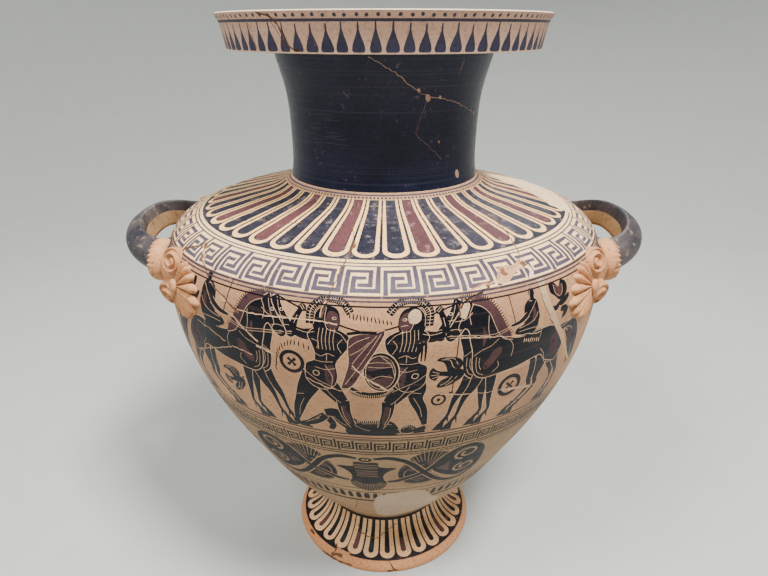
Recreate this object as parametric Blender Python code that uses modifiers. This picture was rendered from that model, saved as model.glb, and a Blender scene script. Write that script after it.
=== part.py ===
"""Black-figure neck amphora with horizontal handles: one fired-clay vessel.

The pot was thrown in sections, its handles and palmettes were stuck on while the
clay was soft, and the whole was fired as one piece, so the model is one solid.
Metres, +Z up. The origin is on the turning axis, at the plane the foot stands on.
The painted main side faces -Y and the handles point along +X and -X.
"""

import math

import bmesh
import bpy
import numpy as np
from mathutils import Matrix, Vector

# Driving sizes
HEIGHT = 0.450
LIP_RADIUS = 0.1176
LIP_BAND_HEIGHT = 0.0227
LIP_EDGE_HEIGHT = 0.0056
NECK_RADIUS = 0.0697
NECK_BASE_HEIGHT = 0.3386
BELLY_RADIUS = 0.1693
JOINT_RADIUS = 0.0571
JOINT_HEIGHT = 0.0402
FOOT_RADIUS = 0.0820
WALL = 0.0065
TURN_STEPS = 44

# Handles: a loop of D-shaped section, flat on its inner side, rising outwards
HANDLE_REACH = 0.1925
HANDLE_HALF_SPREAD = 0.060
HANDLE_START = 0.153
HANDLE_ROOT_HEIGHT = 0.2862
HANDLE_RISE = 0.0098
HANDLE_HALF_HEIGHT = 0.0106
HANDLE_THICKNESS = 0.0155
HANDLE_SQUARENESS = 2.4
HANDLE_LEAN = 0.35
HANDLE_ROOT_FLARE = 0.55
HANDLE_POINTS = 19
COLLAR_RADIUS = 0.0128
COLLAR_THICKNESS = 0.0040
COLLAR_REACH = 0.1612

# Moulded palmettes, one against each handle root
PALMETTE_AZIMUTH = math.radians(35.4)
PALMETTE_HEIGHT = 0.2825
PALMETTE_TURN = math.radians(-6.0)
PETAL_COUNT = 7
PETAL_FAN = math.radians(130.0)
MIDDLE_PETAL_LENGTH = 0.033
END_PETAL_LENGTH = 0.0185
PETAL_RIDGE = 0.0042
PETAL_GROOVE = 0.0014
HEART_RADIUS = 0.0042
HEART_THICKNESS = 0.0110
VOLUTE_RADIUS = 0.0092
VOLUTE_THICKNESS = 0.0048
UPPER_VOLUTE = (math.radians(31.5), 0.2960)
UPPER_VOLUTE_FACING = (math.radians(58.0), math.radians(12.0))
LOWER_VOLUTE = (math.radians(29.5), 0.2725)
LOWER_VOLUTE_FACING = (math.radians(50.0), math.radians(-24.0))

CLAY = (0.76, 0.58, 0.43, 1.0)


def remove_everything():
    for thing in list(bpy.data.objects):
        bpy.data.objects.remove(thing)


def new_collection(name):
    collection = bpy.data.collections.new(name)
    bpy.context.scene.collection.children.link(collection)
    return collection


def clay_material():
    material = bpy.data.materials.new("fired_clay")
    material.use_nodes = True
    shader = material.node_tree.nodes["Principled BSDF"]
    shader.inputs["Base Color"].default_value = CLAY
    shader.inputs["Roughness"].default_value = 0.6
    shader.inputs["Metallic"].default_value = 0.0
    return material


def smooth_through(stations, steps):
    """Points on a Catmull-Rom curve through the stations, with `steps` to each span."""
    p = np.array(stations, float)
    p = np.vstack([2 * p[0] - p[1], p, 2 * p[-1] - p[-2]])
    out = []
    for i in range(1, len(p) - 2):
        knots = [0.0]
        for a, b in zip(p[i - 1 : i + 2], p[i : i + 3]):
            knots.append(knots[-1] + math.sqrt(np.linalg.norm(b - a)))
        t0, t1, t2, t3 = knots
        for t in np.linspace(t1, t2, steps, endpoint=False):
            a1 = ((t1 - t) * p[i - 1] + (t - t0) * p[i]) / (t1 - t0)
            a2 = ((t2 - t) * p[i] + (t - t1) * p[i + 1]) / (t2 - t1)
            a3 = ((t3 - t) * p[i + 1] + (t - t2) * p[i + 2]) / (t3 - t2)
            b1 = ((t2 - t) * a1 + (t - t0) * a2) / (t2 - t0)
            b2 = ((t3 - t) * a2 + (t - t1) * a3) / (t3 - t1)
            out.append(((t2 - t) * b1 + (t - t1) * b2) / (t2 - t1))
    out.append(p[-2])
    return np.array(out)


def inset(points, distance):
    """The polyline moved to its inner side, at right angles to its own run."""
    along = np.gradient(points, axis=0)
    along /= np.linalg.norm(along, axis=1)[:, None]
    return points + distance * np.column_stack([-along[:, 1], along[:, 0]])


def foot_outline():
    """(radius, height) from the resting ring's outer edge up to the joint."""
    return [
        (FOOT_RADIUS - 0.0012, 0.0),
        (FOOT_RADIUS, 0.0022),
        (FOOT_RADIUS - 0.0003, 0.0058),
        (FOOT_RADIUS - 0.0022, 0.0090),
        (FOOT_RADIUS - 0.0057, 0.0106),
        (JOINT_RADIUS + 0.0105, 0.0142),
        (JOINT_RADIUS + 0.0035, 0.0206),
        (JOINT_RADIUS - 0.0012, 0.0290),
        (JOINT_RADIUS - 0.0028, 0.0372),
        (JOINT_RADIUS, JOINT_HEIGHT - 0.0014),
    ]


def body_outline():
    """(radius, height) from the joint with the foot, over the belly, to the neck."""
    lower_wall = [
        (JOINT_RADIUS, JOINT_HEIGHT),
        (0.0947, 0.0870),
        (0.1230, 0.1339),
        (0.1474, 0.1807),
        (0.1626, 0.2230),
        (BELLY_RADIUS - 0.0011, 0.2563),
    ]
    shoulder = [
        (BELLY_RADIUS - 0.0011, 0.2871),
        (0.1590, 0.3056),
        (0.1391, 0.3160),
        (0.1070, 0.3245),
        (0.0820, 0.3312),
        (NECK_RADIUS + 0.0014, NECK_BASE_HEIGHT),
    ]
    shoulder_start = len(lower_wall) - 1
    curve = smooth_through(lower_wall + shoulder, 2)
    fold = 2 * shoulder_start
    turn_of_shoulder = fold + 6
    return (
        [tuple(p) for p in curve[:fold:2]]
        + [tuple(p) for p in curve[fold:turn_of_shoulder]]
        + [tuple(p) for p in curve[turn_of_shoulder::2]]
    )


def neck_outline():
    """(radius, height) of the concave neck, from the shoulder to under the lip."""
    stations = [
        (NECK_RADIUS + 0.0002, NECK_BASE_HEIGHT + 0.008),
        (NECK_RADIUS, 0.3682),
        (NECK_RADIUS + 0.0021, 0.3977),
        (NECK_RADIUS + 0.0095, HEIGHT - LIP_BAND_HEIGHT - 0.001),
    ]
    return list(smooth_through(stations, 2))


def lip_outline():
    """(radius, height) round the overhanging lip, from its underside to its top."""
    band_bottom = HEIGHT - LIP_BAND_HEIGHT
    return [
        (LIP_RADIUS - 0.0095, band_bottom - 0.0014),
        (LIP_RADIUS - 0.0066, band_bottom + 0.0004),
        (LIP_RADIUS - 0.0031, HEIGHT - LIP_EDGE_HEIGHT),
        (LIP_RADIUS, HEIGHT - 0.0006),
        (LIP_RADIUS - 0.0012, HEIGHT),
    ]


def outer_outline():
    """The outside of the pot from the underside's centre to the middle of the mouth."""
    underside = [
        (0.0, JOINT_HEIGHT - 0.0050),
        (0.0380, JOINT_HEIGHT - 0.0060),
        (0.0470, 0.0270),
        (0.0580, 0.0125),
        (0.0690, 0.0035),
        (FOOT_RADIUS - 0.0105, 0.0),
    ]
    top_centre = [(0.0, HEIGHT)]
    return (
        underside + foot_outline() + body_outline()
        + neck_outline() + lip_outline() + top_centre
    )


def cavity_outline():
    """The hollow of the pot from its floor to above the mouth, a wall's thickness in."""
    body = np.array(body_outline())
    wall_side = inset(body, WALL)
    floor = [
        (0.0, JOINT_HEIGHT + 0.0055),
        (0.0400, JOINT_HEIGHT + 0.0065),
        (JOINT_RADIUS - 0.0011, JOINT_HEIGHT + 0.0125),
    ]
    inside = [tuple(p) for p in wall_side[1:-2]]
    throat = [
        (NECK_RADIUS - WALL + 0.0010, NECK_BASE_HEIGHT - 0.002),
        (NECK_RADIUS - WALL, 0.3682),
        (NECK_RADIUS - WALL + 0.0021, 0.3977),
        (NECK_RADIUS - WALL + 0.0090, 0.4270),
        (NECK_RADIUS + 0.0125, HEIGHT - 0.0155),
        (LIP_RADIUS - 0.0170, HEIGHT - 0.0085),
        (LIP_RADIUS - 0.0062, HEIGHT - 0.0010),
        (LIP_RADIUS - 0.0050, HEIGHT + 0.0020),
        (0.0, HEIGHT + 0.0020),
    ]
    return floor + inside + throat


def turned(name, outline, collection):
    """A solid of revolution: the outline in the XZ plane with a Screw modifier."""
    mesh = bpy.data.meshes.new(name)
    down_outer_side = [(r, 0.0, z) for r, z in reversed(outline)]
    edges = [(i, i + 1) for i in range(len(outline) - 1)]
    mesh.from_pydata(down_outer_side, edges, [])
    thing = bpy.data.objects.new(name, mesh)
    collection.objects.link(thing)
    screw = thing.modifiers.new("turning", "SCREW")
    screw.angle = math.tau
    screw.steps = TURN_STEPS
    screw.render_steps = TURN_STEPS
    screw.use_merge_vertices = True
    screw.merge_threshold = 0.0001
    screw.use_smooth_shade = True
    return thing


def radius_at(height):
    body = np.array(body_outline())
    return float(np.interp(height, body[:, 1], body[:, 0]))


def body_frame(azimuth, height):
    """A point on the belly and its frame: along the girth, up the wall, outwards.

    Azimuth is measured from +X towards the front, -Y.
    """
    step = 0.002
    radius = radius_at(height)
    slope = (radius_at(height + step) - radius_at(height - step)) / (2 * step)
    outward = Vector((math.cos(azimuth), -math.sin(azimuth), 0.0))
    girth = Vector((-math.sin(azimuth), -math.cos(azimuth), 0.0))
    up = (outward * slope + Vector((0.0, 0.0, 1.0))).normalized()
    normal = up.cross(girth).normalized()
    if normal.dot(outward) < 0:
        normal = -normal
    return outward * radius + Vector((0.0, 0.0, height)), girth, up, normal


def palmette_place(forward, upward):
    """The frame at an offset from the palmette's heart, measured over the wall."""
    radius = radius_at(PALMETTE_HEIGHT)
    azimuth = PALMETTE_AZIMUTH + forward / radius
    return body_frame(azimuth, PALMETTE_HEIGHT + upward)


def handle_line(t):
    """The handle's centre line, a superellipse in plan. t runs from -1 to 1."""
    turn = t * math.pi / 2
    power = 2 / HANDLE_SQUARENESS
    reach = HANDLE_REACH - HANDLE_START
    x = HANDLE_START + reach * abs(math.cos(turn)) ** power
    y = HANDLE_HALF_SPREAD * math.copysign(abs(math.sin(turn)) ** power, turn)
    z = HANDLE_ROOT_HEIGHT + HANDLE_RISE * math.cos(turn) ** 2
    return Vector((x, y, z))


def as_mesh(curve_object, collection):
    """The curve object's evaluated surface as a mesh object with its caps welded."""
    bpy.context.view_layer.update()
    graph = bpy.context.evaluated_depsgraph_get()
    mesh = bpy.data.meshes.new_from_object(curve_object.evaluated_get(graph))
    shape = bmesh.new()
    shape.from_mesh(mesh)
    bmesh.ops.remove_doubles(shape, verts=shape.verts, dist=1e-6)
    bmesh.ops.recalc_face_normals(shape, faces=shape.faces)
    shape.to_mesh(mesh)
    shape.free()
    name = curve_object.name
    matrix = curve_object.matrix_world.copy()
    bpy.data.objects.remove(curve_object)
    thing = bpy.data.objects.new(name, mesh)
    thing.matrix_world = matrix
    collection.objects.link(thing)
    return thing


def handle_section(collection):
    """The D-shaped section: a half round outside and a flat face inside."""
    data = bpy.data.curves.new("handle_section", "CURVE")
    data.dimensions = "2D"
    half_thickness = HANDLE_THICKNESS / 2
    round_side = [
        (
            -half_thickness + HANDLE_THICKNESS * math.cos(a) ** 0.8,
            HANDLE_HALF_HEIGHT * math.sin(a),
        )
        for a in np.linspace(-math.pi / 2, math.pi / 2, 9) * 0.999
    ]
    spline = data.splines.new("POLY")
    spline.points.add(len(round_side) - 1)
    for point, (x, y) in zip(spline.points, round_side):
        point.co = (x, y, 0.0, 1.0)
    spline.use_cyclic_u = True
    section = bpy.data.objects.new("handle_section", data)
    section.hide_render = True
    section.display_type = "WIRE"
    collection.objects.link(section)
    return section


def handle(name, section, collection):
    """The section swept along the handle's line, leaning inwards and flared at its roots."""
    data = bpy.data.curves.new(name, "CURVE")
    data.dimensions = "3D"
    data.twist_mode = "Z_UP"
    data.bevel_mode = "OBJECT"
    data.bevel_object = section
    data.use_fill_caps = True
    spline = data.splines.new("POLY")
    spline.points.add(HANDLE_POINTS - 1)
    for point, t in zip(spline.points, np.linspace(-1, 1, HANDLE_POINTS)):
        point.co = (*handle_line(t), 1.0)
        point.tilt = HANDLE_LEAN * math.cos(t * math.pi / 2)
        point.radius = 1 + HANDLE_ROOT_FLARE * abs(t) ** 7
    curve = bpy.data.objects.new(name, data)
    collection.objects.link(curve)
    return as_mesh(curve, collection)


def mesh_object(name, shape, collection):
    mesh = bpy.data.meshes.new(name)
    shape.to_mesh(mesh)
    shape.free()
    thing = bpy.data.objects.new(name, mesh)
    collection.objects.link(thing)
    return thing


def petal_fan(name, collection):
    """The fan of petals: a ridge along each, a groove between them, round tips.

    A grid in polar coordinates round the heart, closed below by one point in the wall.
    """
    columns_to_petal = 4
    tip_shape = (0.80, 0.96, 1.0, 0.96)
    ridge_shape = (0.0, 0.8, 1.0, 0.8)
    rings = ((0.34, 0.75), (0.72, 1.0), (0.93, 0.85))
    sunk = -0.0016
    shape = bmesh.new()

    def vertex(distance, turn, above):
        point, _, _, normal = palmette_place(
            distance * math.cos(turn), distance * math.sin(turn)
        )
        return shape.verts.new(point + normal * above)

    centre = vertex(0.0, 0.0, PETAL_RIDGE)
    columns = []
    column_count = PETAL_COUNT * columns_to_petal + 1
    for i in range(column_count):
        side = 2 * i / (column_count - 1) - 1
        turn = PALMETTE_TURN + side * PETAL_FAN / 2
        length = MIDDLE_PETAL_LENGTH + (END_PETAL_LENGTH - MIDDLE_PETAL_LENGTH) * abs(side)
        length *= tip_shape[i % columns_to_petal]
        top = PETAL_GROOVE + (PETAL_RIDGE - PETAL_GROOVE) * ridge_shape[i % columns_to_petal]
        end = i in (0, column_count - 1)
        column = [
            vertex(length * out, turn, sunk if end else top * high) for out, high in rings
        ]
        column.append(vertex(length, turn, sunk))
        columns.append(column)
    for a, b in zip(columns, columns[1:]):
        shape.faces.new((centre, a[0], b[0]))
        for k in range(len(rings)):
            shape.faces.new((a[k], a[k + 1], b[k + 1], b[k]))
    foot = vertex(MIDDLE_PETAL_LENGTH * 0.45, PALMETTE_TURN, -0.0042)
    for edge in [e for e in shape.edges if e.is_boundary]:
        shape.faces.new((edge.verts[0], edge.verts[1], foot))
    bmesh.ops.recalc_face_normals(shape, faces=shape.faces)
    return mesh_object(name, shape, collection)


def volute(name, place, facing, collection):
    """A round boss with a ring groove and an eye, standing as the plaque bends outwards."""
    azimuth, height = place
    turn, rise = facing
    point = body_frame(azimuth, height)[0]
    normal = Vector((
        math.cos(turn) * math.cos(rise), -math.sin(turn) * math.cos(rise), math.sin(rise)
    ))
    outline = (
        (1.0, -1.0), (1.0, 0.55), (0.84, 0.85), (0.56, 0.45), (0.34, 0.95), (0.0, 1.1),
    )
    shape = bmesh.new()
    along_normal = normal.to_track_quat("Z", "Y").to_matrix().to_4x4()
    sides = 10
    rings = []
    for out, above in outline[:-1]:
        rings.append([
            shape.verts.new((
                VOLUTE_RADIUS * out * math.cos(math.tau * i / sides),
                VOLUTE_RADIUS * out * math.sin(math.tau * i / sides),
                VOLUTE_THICKNESS * above,
            ))
            for i in range(sides)
        ])
    for lower, upper in zip(rings, rings[1:]):
        for i in range(sides):
            j = (i + 1) % sides
            shape.faces.new((lower[i], lower[j], upper[j], upper[i]))
    eye = shape.verts.new((0.0, 0.0, VOLUTE_THICKNESS * outline[-1][1]))
    for i in range(sides):
        shape.faces.new((rings[-1][i], rings[-1][(i + 1) % sides], eye))
    shape.faces.new(list(reversed(rings[0])))
    shape.transform(Matrix.Translation(point) @ along_normal)
    return mesh_object(name, shape, collection)


def heart(name, collection):
    """The palmette's heart, a low round boss."""
    point, girth, _, normal = palmette_place(0.0, 0.0)
    shape = bmesh.new()
    bmesh.ops.create_cone(
        shape, cap_ends=True, segments=8,
        radius1=HEART_RADIUS, radius2=HEART_RADIUS * 0.7, depth=HEART_THICKNESS,
    )
    frame = Matrix((girth, normal.cross(girth), normal)).transposed().to_4x4()
    shape.transform(Matrix.Translation(point) @ frame)
    return mesh_object(name, shape, collection)


def collar(name, collection):
    """The ring that hides the joint of handle and wall, square to the handle's line."""
    share = (COLLAR_REACH - HANDLE_START) / (HANDLE_REACH - HANDLE_START)
    t = -math.acos(share ** (HANDLE_SQUARENESS / 2)) * 2 / math.pi
    step = 0.003
    along = (handle_line(t - step) - handle_line(t + step)).normalized()
    bpy.ops.mesh.primitive_torus_add(
        major_radius=COLLAR_RADIUS, minor_radius=COLLAR_THICKNESS,
        major_segments=12, minor_segments=5,
    )
    ring = bpy.context.object
    ring.name = name
    turn = along.to_track_quat("Z", "Y").to_matrix().to_4x4()
    ring.data.transform(Matrix.Translation(handle_line(t)) @ turn)
    for other in list(ring.users_collection):
        other.objects.unlink(ring)
    collection.objects.link(ring)
    return ring


def palmette(name, collection):
    """The palmette at the front root of the +X handle: petals, volutes, heart, collar."""
    return [
        collar(name + "_collar", collection),
        petal_fan(name + "_petals", collection),
        volute(name + "_upper_volute", UPPER_VOLUTE, UPPER_VOLUTE_FACING, collection),
        volute(name + "_lower_volute", LOWER_VOLUTE, LOWER_VOLUTE_FACING, collection),
        heart(name + "_heart", collection),
    ]


def reflected(thing, flip_x, flip_y, name, collection):
    """A mirrored copy of a mesh object, its faces turned to point outwards again."""
    mesh = thing.data.copy()
    mesh.transform(Matrix.Diagonal((flip_x, flip_y, 1.0, 1.0)))
    if flip_x * flip_y < 0:
        mesh.flip_normals()
    copy = bpy.data.objects.new(name, mesh)
    collection.objects.link(copy)
    return copy


def stuck_on_pieces(collection):
    """Both handles and the four palmettes."""
    section = handle_section(collection)
    right = handle("handle_right", section, collection)
    reflected(right, -1, 1, "handle_left", collection)
    bpy.data.objects.remove(section)
    pieces = palmette("palmette_front_right", collection)
    for flip_x, flip_y, place in (
        (-1, 1, "front_left"), (1, -1, "back_right"), (-1, -1, "back_left"),
    ):
        for piece in pieces:
            name = piece.name.replace("front_right", place)
            reflected(piece, flip_x, flip_y, name, collection)


def join_by_boolean(thing, operation, collection):
    boolean = thing.modifiers.new(collection.name, "BOOLEAN")
    boolean.operation = operation
    boolean.operand_type = "COLLECTION"
    boolean.collection = collection
    boolean.solver = "EXACT"


def build():
    remove_everything()
    model = new_collection("Neck amphora")
    added = new_collection("stuck on")
    removed = new_collection("hollow")
    stuck_on_pieces(added)
    turned("cavity", cavity_outline(), removed)
    for helper in list(added.objects) + list(removed.objects):
        helper.hide_render = True
        helper.display_type = "WIRE"
    amphora = turned("amphora", outer_outline(), model)
    amphora.data.materials.append(clay_material())
    join_by_boolean(amphora, "UNION", added)
    join_by_boolean(amphora, "DIFFERENCE", removed)


build()
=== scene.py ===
import math

import bpy
import numpy as np
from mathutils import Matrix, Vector
from mathutils.geometry import delaunay_2d_cdt


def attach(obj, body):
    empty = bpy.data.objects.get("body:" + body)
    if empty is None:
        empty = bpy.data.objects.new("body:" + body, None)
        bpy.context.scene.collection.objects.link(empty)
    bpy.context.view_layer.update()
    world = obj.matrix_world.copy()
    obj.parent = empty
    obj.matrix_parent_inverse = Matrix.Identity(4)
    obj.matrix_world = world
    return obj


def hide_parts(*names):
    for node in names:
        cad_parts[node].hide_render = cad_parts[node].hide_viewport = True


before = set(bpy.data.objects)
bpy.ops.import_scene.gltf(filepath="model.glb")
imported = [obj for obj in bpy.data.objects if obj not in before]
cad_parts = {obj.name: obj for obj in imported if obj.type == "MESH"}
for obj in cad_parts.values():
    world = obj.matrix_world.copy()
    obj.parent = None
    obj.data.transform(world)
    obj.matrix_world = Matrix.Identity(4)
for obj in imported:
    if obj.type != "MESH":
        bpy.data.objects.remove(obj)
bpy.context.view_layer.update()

# Foot
# A flared foot, thrown on its own and luted under the body, hollow underneath. It is bare
# orange clay with a ring of painted tongues on top, cracked and chipped at its front edge.
MM = 0.001
JOINT_RADIUS = 0.0571
JOINT_HEIGHT = 0.0402
FOOT_RADIUS = 0.0820
FOOT_REFERENCE = 70.0
FOOT_TONGUES = 30
TURN_COLUMNS = 288
FIRST_FOOT_TONGUE = 3.0
FOOT_BAND = (12.3, 51.0)
FOOT_COLLAR = (47.6, 54.6)
FOOT_TONGUE_ROOT = 50.6
RESTING_RING_OUTSIDE = FOOT_RADIUS - 0.0012
RESTING_RING_INSIDE = FOOT_RADIUS - 0.0105
ROW_STEP = 4.0
CRACK_STEP = 2.0
MARGIN = 0.15
FADE = 0.6
SAME_POINT = 1e-5
WELD_CELLS = 1e7
SPECK_SHADE = 0.52
CLAY, SLIP, THIN, RED, LINE, CREAM, PLASTER, BREAK, INSIDE = range(9)
hand = np.random.default_rng(8)


def tone(screen):
    """Red, green and blue of a screen, 0 to 255, as linear light: the screen curve undone."""
    share = np.array(screen) / 255
    linear = np.where(share <= 0.04045, share / 12.92, ((share + 0.055) / 1.055) ** 2.4)
    return (*linear.tolist(), 1.0)


def node(tree, kind, *values, **settings):
    """A new node with its settings; values are (input, number, colour or socket) pairs."""
    made = tree.nodes.new(kind)
    for name, value in settings.items():
        setattr(made, name, value)
    for name, value in values:
        if isinstance(value, bpy.types.NodeSocket):
            tree.links.new(value, made.inputs[name])
        else:
            made.inputs[name].default_value = value
    return made


def noise(tree, place, scale, detail, roughness=0.5):
    """Fractal noise about 0.5, with `scale` features to the metre of the place it reads."""
    return node(
        tree, "ShaderNodeTexNoise", ("Vector", place), ("Scale", scale),
        ("Detail", detail), ("Roughness", roughness),
    ).outputs[0]


def between(tree, value, low, high, first, last):
    """The value carried from low..high to first..last, and held beyond both ends."""
    return node(
        tree, "ShaderNodeMapRange", ("Value", value), ("From Min", low), ("From Max", high),
        ("To Min", first), ("To Max", last),
    ).outputs[0]


def blend(tree, share, first, second):
    """Two colours mixed by a share."""
    return node(
        tree, "ShaderNodeMix", (0, share), (6, first), (7, second), data_type="RGBA"
    ).outputs[2]


def fired(name, colour, drift, worn, worn_above, roughness, grain=0.0001, wheel=0.0, sheen=0.22,
          dirt=0.75):
    """A fired surface: two tones that drift into each other in broad clouds under dark specks,
    rubbed through to a third in ragged spots where noise passes worn_above. Fine noise is its
    grain, and with a wheel depth level lines are sunk in it, with the worn tone in them."""
    colour, drift, worn = tone(colour), tone(drift), tone(worn)
    material = bpy.data.materials.new(name)
    material.use_nodes = True
    tree = material.node_tree
    shader = tree.nodes["Principled BSDF"]
    place = tree.nodes.new("ShaderNodeTexCoord").outputs["Object"]
    level = node(
        tree, "ShaderNodeMapping", ("Vector", place), ("Scale", (4.0, 4.0, 700.0))
    ).outputs[0]
    clouds = noise(tree, place, scale=20.0, detail=7.0, roughness=0.68)
    ragged = noise(tree, place, scale=170.0, detail=9.0, roughness=0.72)
    fine = noise(tree, place, scale=1500.0, detail=3.0)
    specks = noise(tree, place, scale=520.0, detail=5.0, roughness=0.75)
    lines = noise(tree, level, scale=1.0, detail=3.0)
    cloudy = blend(tree, between(tree, clouds, 0.36, 0.64, 0.0, 1.0), colour, drift)
    dark = (*(SPECK_SHADE * part for part in colour[:3]), 1.0)
    speckled = blend(tree, between(tree, specks, 0.51, 0.62, 0.0, dirt), cloudy, dark)
    worn_here = node(
        tree, "ShaderNodeMath", (0, ragged), (1, between(tree, clouds, 0.3, 0.7, -0.05, 0.05)),
        operation="ADD",
    ).outputs[0]
    rubbed = between(tree, worn_here, worn_above, worn_above + 0.05, 0.0, 1.0)
    streaks = between(tree, lines, 0.56, 0.72, 0.0, 0.30 if wheel else 0.0)
    streaky = blend(tree, streaks, speckled, worn)
    tree.links.new(blend(tree, rubbed, streaky, worn), shader.inputs["Base Color"])
    gloss = between(tree, ragged, 0.3, 0.7, roughness - 0.06, roughness + 0.10)
    dull = node(tree, "ShaderNodeMath", (0, gloss), (1, between(tree, rubbed, 0.0, 1.0, 0.0, 0.2)))
    tree.links.new(dull.outputs[0], shader.inputs["Roughness"])
    shader.inputs["Specular IOR Level"].default_value = sheen
    bumpy = node(
        tree, "ShaderNodeBump", ("Strength", 1.0), ("Distance", grain), ("Height", fine)
    ).outputs[0]
    if wheel:
        bumpy = node(
            tree, "ShaderNodeBump", ("Strength", 1.0), ("Distance", wheel), ("Height", lines),
            ("Normal", bumpy),
        ).outputs[0]
    tree.links.new(bumpy, shader.inputs["Normal"])
    return material


def smooth_through(stations, steps, closed=False):
    """Centripetal Catmull-Rom: each span blends the four stations round it in three rounds of
    straight mixing, with knots that grow by the square root of the stations' distances."""
    p = np.asarray(stations, float)
    if closed:
        p = np.vstack([p[-1], p, p[:2]])
    else:
        p = np.vstack([2 * p[0] - p[1], p, 2 * p[-1] - p[-2]])
    gaps = np.sqrt(np.linalg.norm(np.diff(p, axis=0), axis=1))
    knots = np.concatenate([[0.0], np.cumsum(gaps)])
    span = np.arange(len(p) - 3)[:, None]
    k0, k1, k2, k3 = (knots[span + i][..., None] for i in range(4))
    p0, p1, p2, p3 = (p[span + i] for i in range(4))
    t = k1 + (k2 - k1) * (np.arange(steps) / steps)[None, :, None]

    def mix(a, b, start, end):
        return ((end - t) * a + (t - start) * b) / (end - start)

    a1, a2, a3 = mix(p0, p1, k0, k1), mix(p1, p2, k1, k2), mix(p2, p3, k2, k3)
    b1, b2 = mix(a1, a2, k0, k2), mix(a2, a3, k1, k3)
    curve = mix(b1, b2, k1, k2).reshape(-1, p.shape[1])
    return curve if closed else np.vstack([curve, p[-2]])


def unit(vectors):
    """Each vector brought to a length of one."""
    return vectors / np.linalg.norm(vectors, axis=-1, keepdims=True)


def leftward(line):
    """The unit direction at right angles to a line's run, to its left, at each point."""
    run = unit(np.gradient(line, axis=0))
    return np.column_stack([-run[:, 1], run[:, 0]])


def patches(left, right):
    """One four-sided shape to each step between two lines."""
    return np.stack([left[:-1], left[1:], right[1:], right[:-1]], axis=1)


def turned(azimuth, profile, slope):
    """Points and normals of a turned surface: each radius and height of the profile carried
    round to its azimuth, 0 in front, with the normal at right angles to the profile's run."""
    around = np.column_stack([np.sin(azimuth), -np.cos(azimuth)])
    normals = np.column_stack([slope[:, 1:] * around, -slope[:, 0]])
    return np.column_stack([profile[:, :1] * around, profile[:, 1]]), normals


def inside(points, outline):
    """Even-odd rule: a point is in when a level line from it crosses the outline an odd
    number of times."""
    x, y = points[:, :1], points[:, 1:]
    x0, y0 = outline.T
    x1, y1 = np.roll(outline, -1, axis=0).T
    crossed = (y0 > y) != (y1 > y)
    rise = np.where(y1 == y0, 1.0, y1 - y0)
    return (crossed & (x < x0 + (y - y0) * (x1 - x0) / rise)).sum(axis=1) % 2 == 1


def finely(outline, step):
    """The closed outline with points added so that no side is longer than the step."""
    run = np.roll(outline, -1, axis=0) - outline
    counts = np.maximum(1, np.ceil(np.linalg.norm(run, axis=1) / step)).astype(int)
    share = np.concatenate([np.arange(count) / count for count in counts])
    return np.repeat(outline, counts, axis=0) + np.repeat(run, counts, axis=0) * share[:, None]


def distance_to(points, line):
    """The shortest distance from each point to a line of straight runs."""
    start, run = line[:-1], np.diff(line, axis=0)
    away = points[:, None, :] - start
    share = np.clip((away * run).sum(axis=2) / (run ** 2).sum(axis=1), 0, 1)
    return np.linalg.norm(away - share[..., None] * run, axis=2).min(axis=1)


def grid_triangles(rows, columns):
    """Two triangles to each cell of a grid of points numbered row by row."""
    corner = (np.arange(rows - 1)[:, None] * columns + np.arange(columns - 1)).ravel()
    first = np.column_stack([corner, corner + 1, corner + columns + 1])
    second = np.column_stack([corner, corner + columns + 1, corner + columns])
    return np.vstack([first, second])


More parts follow.
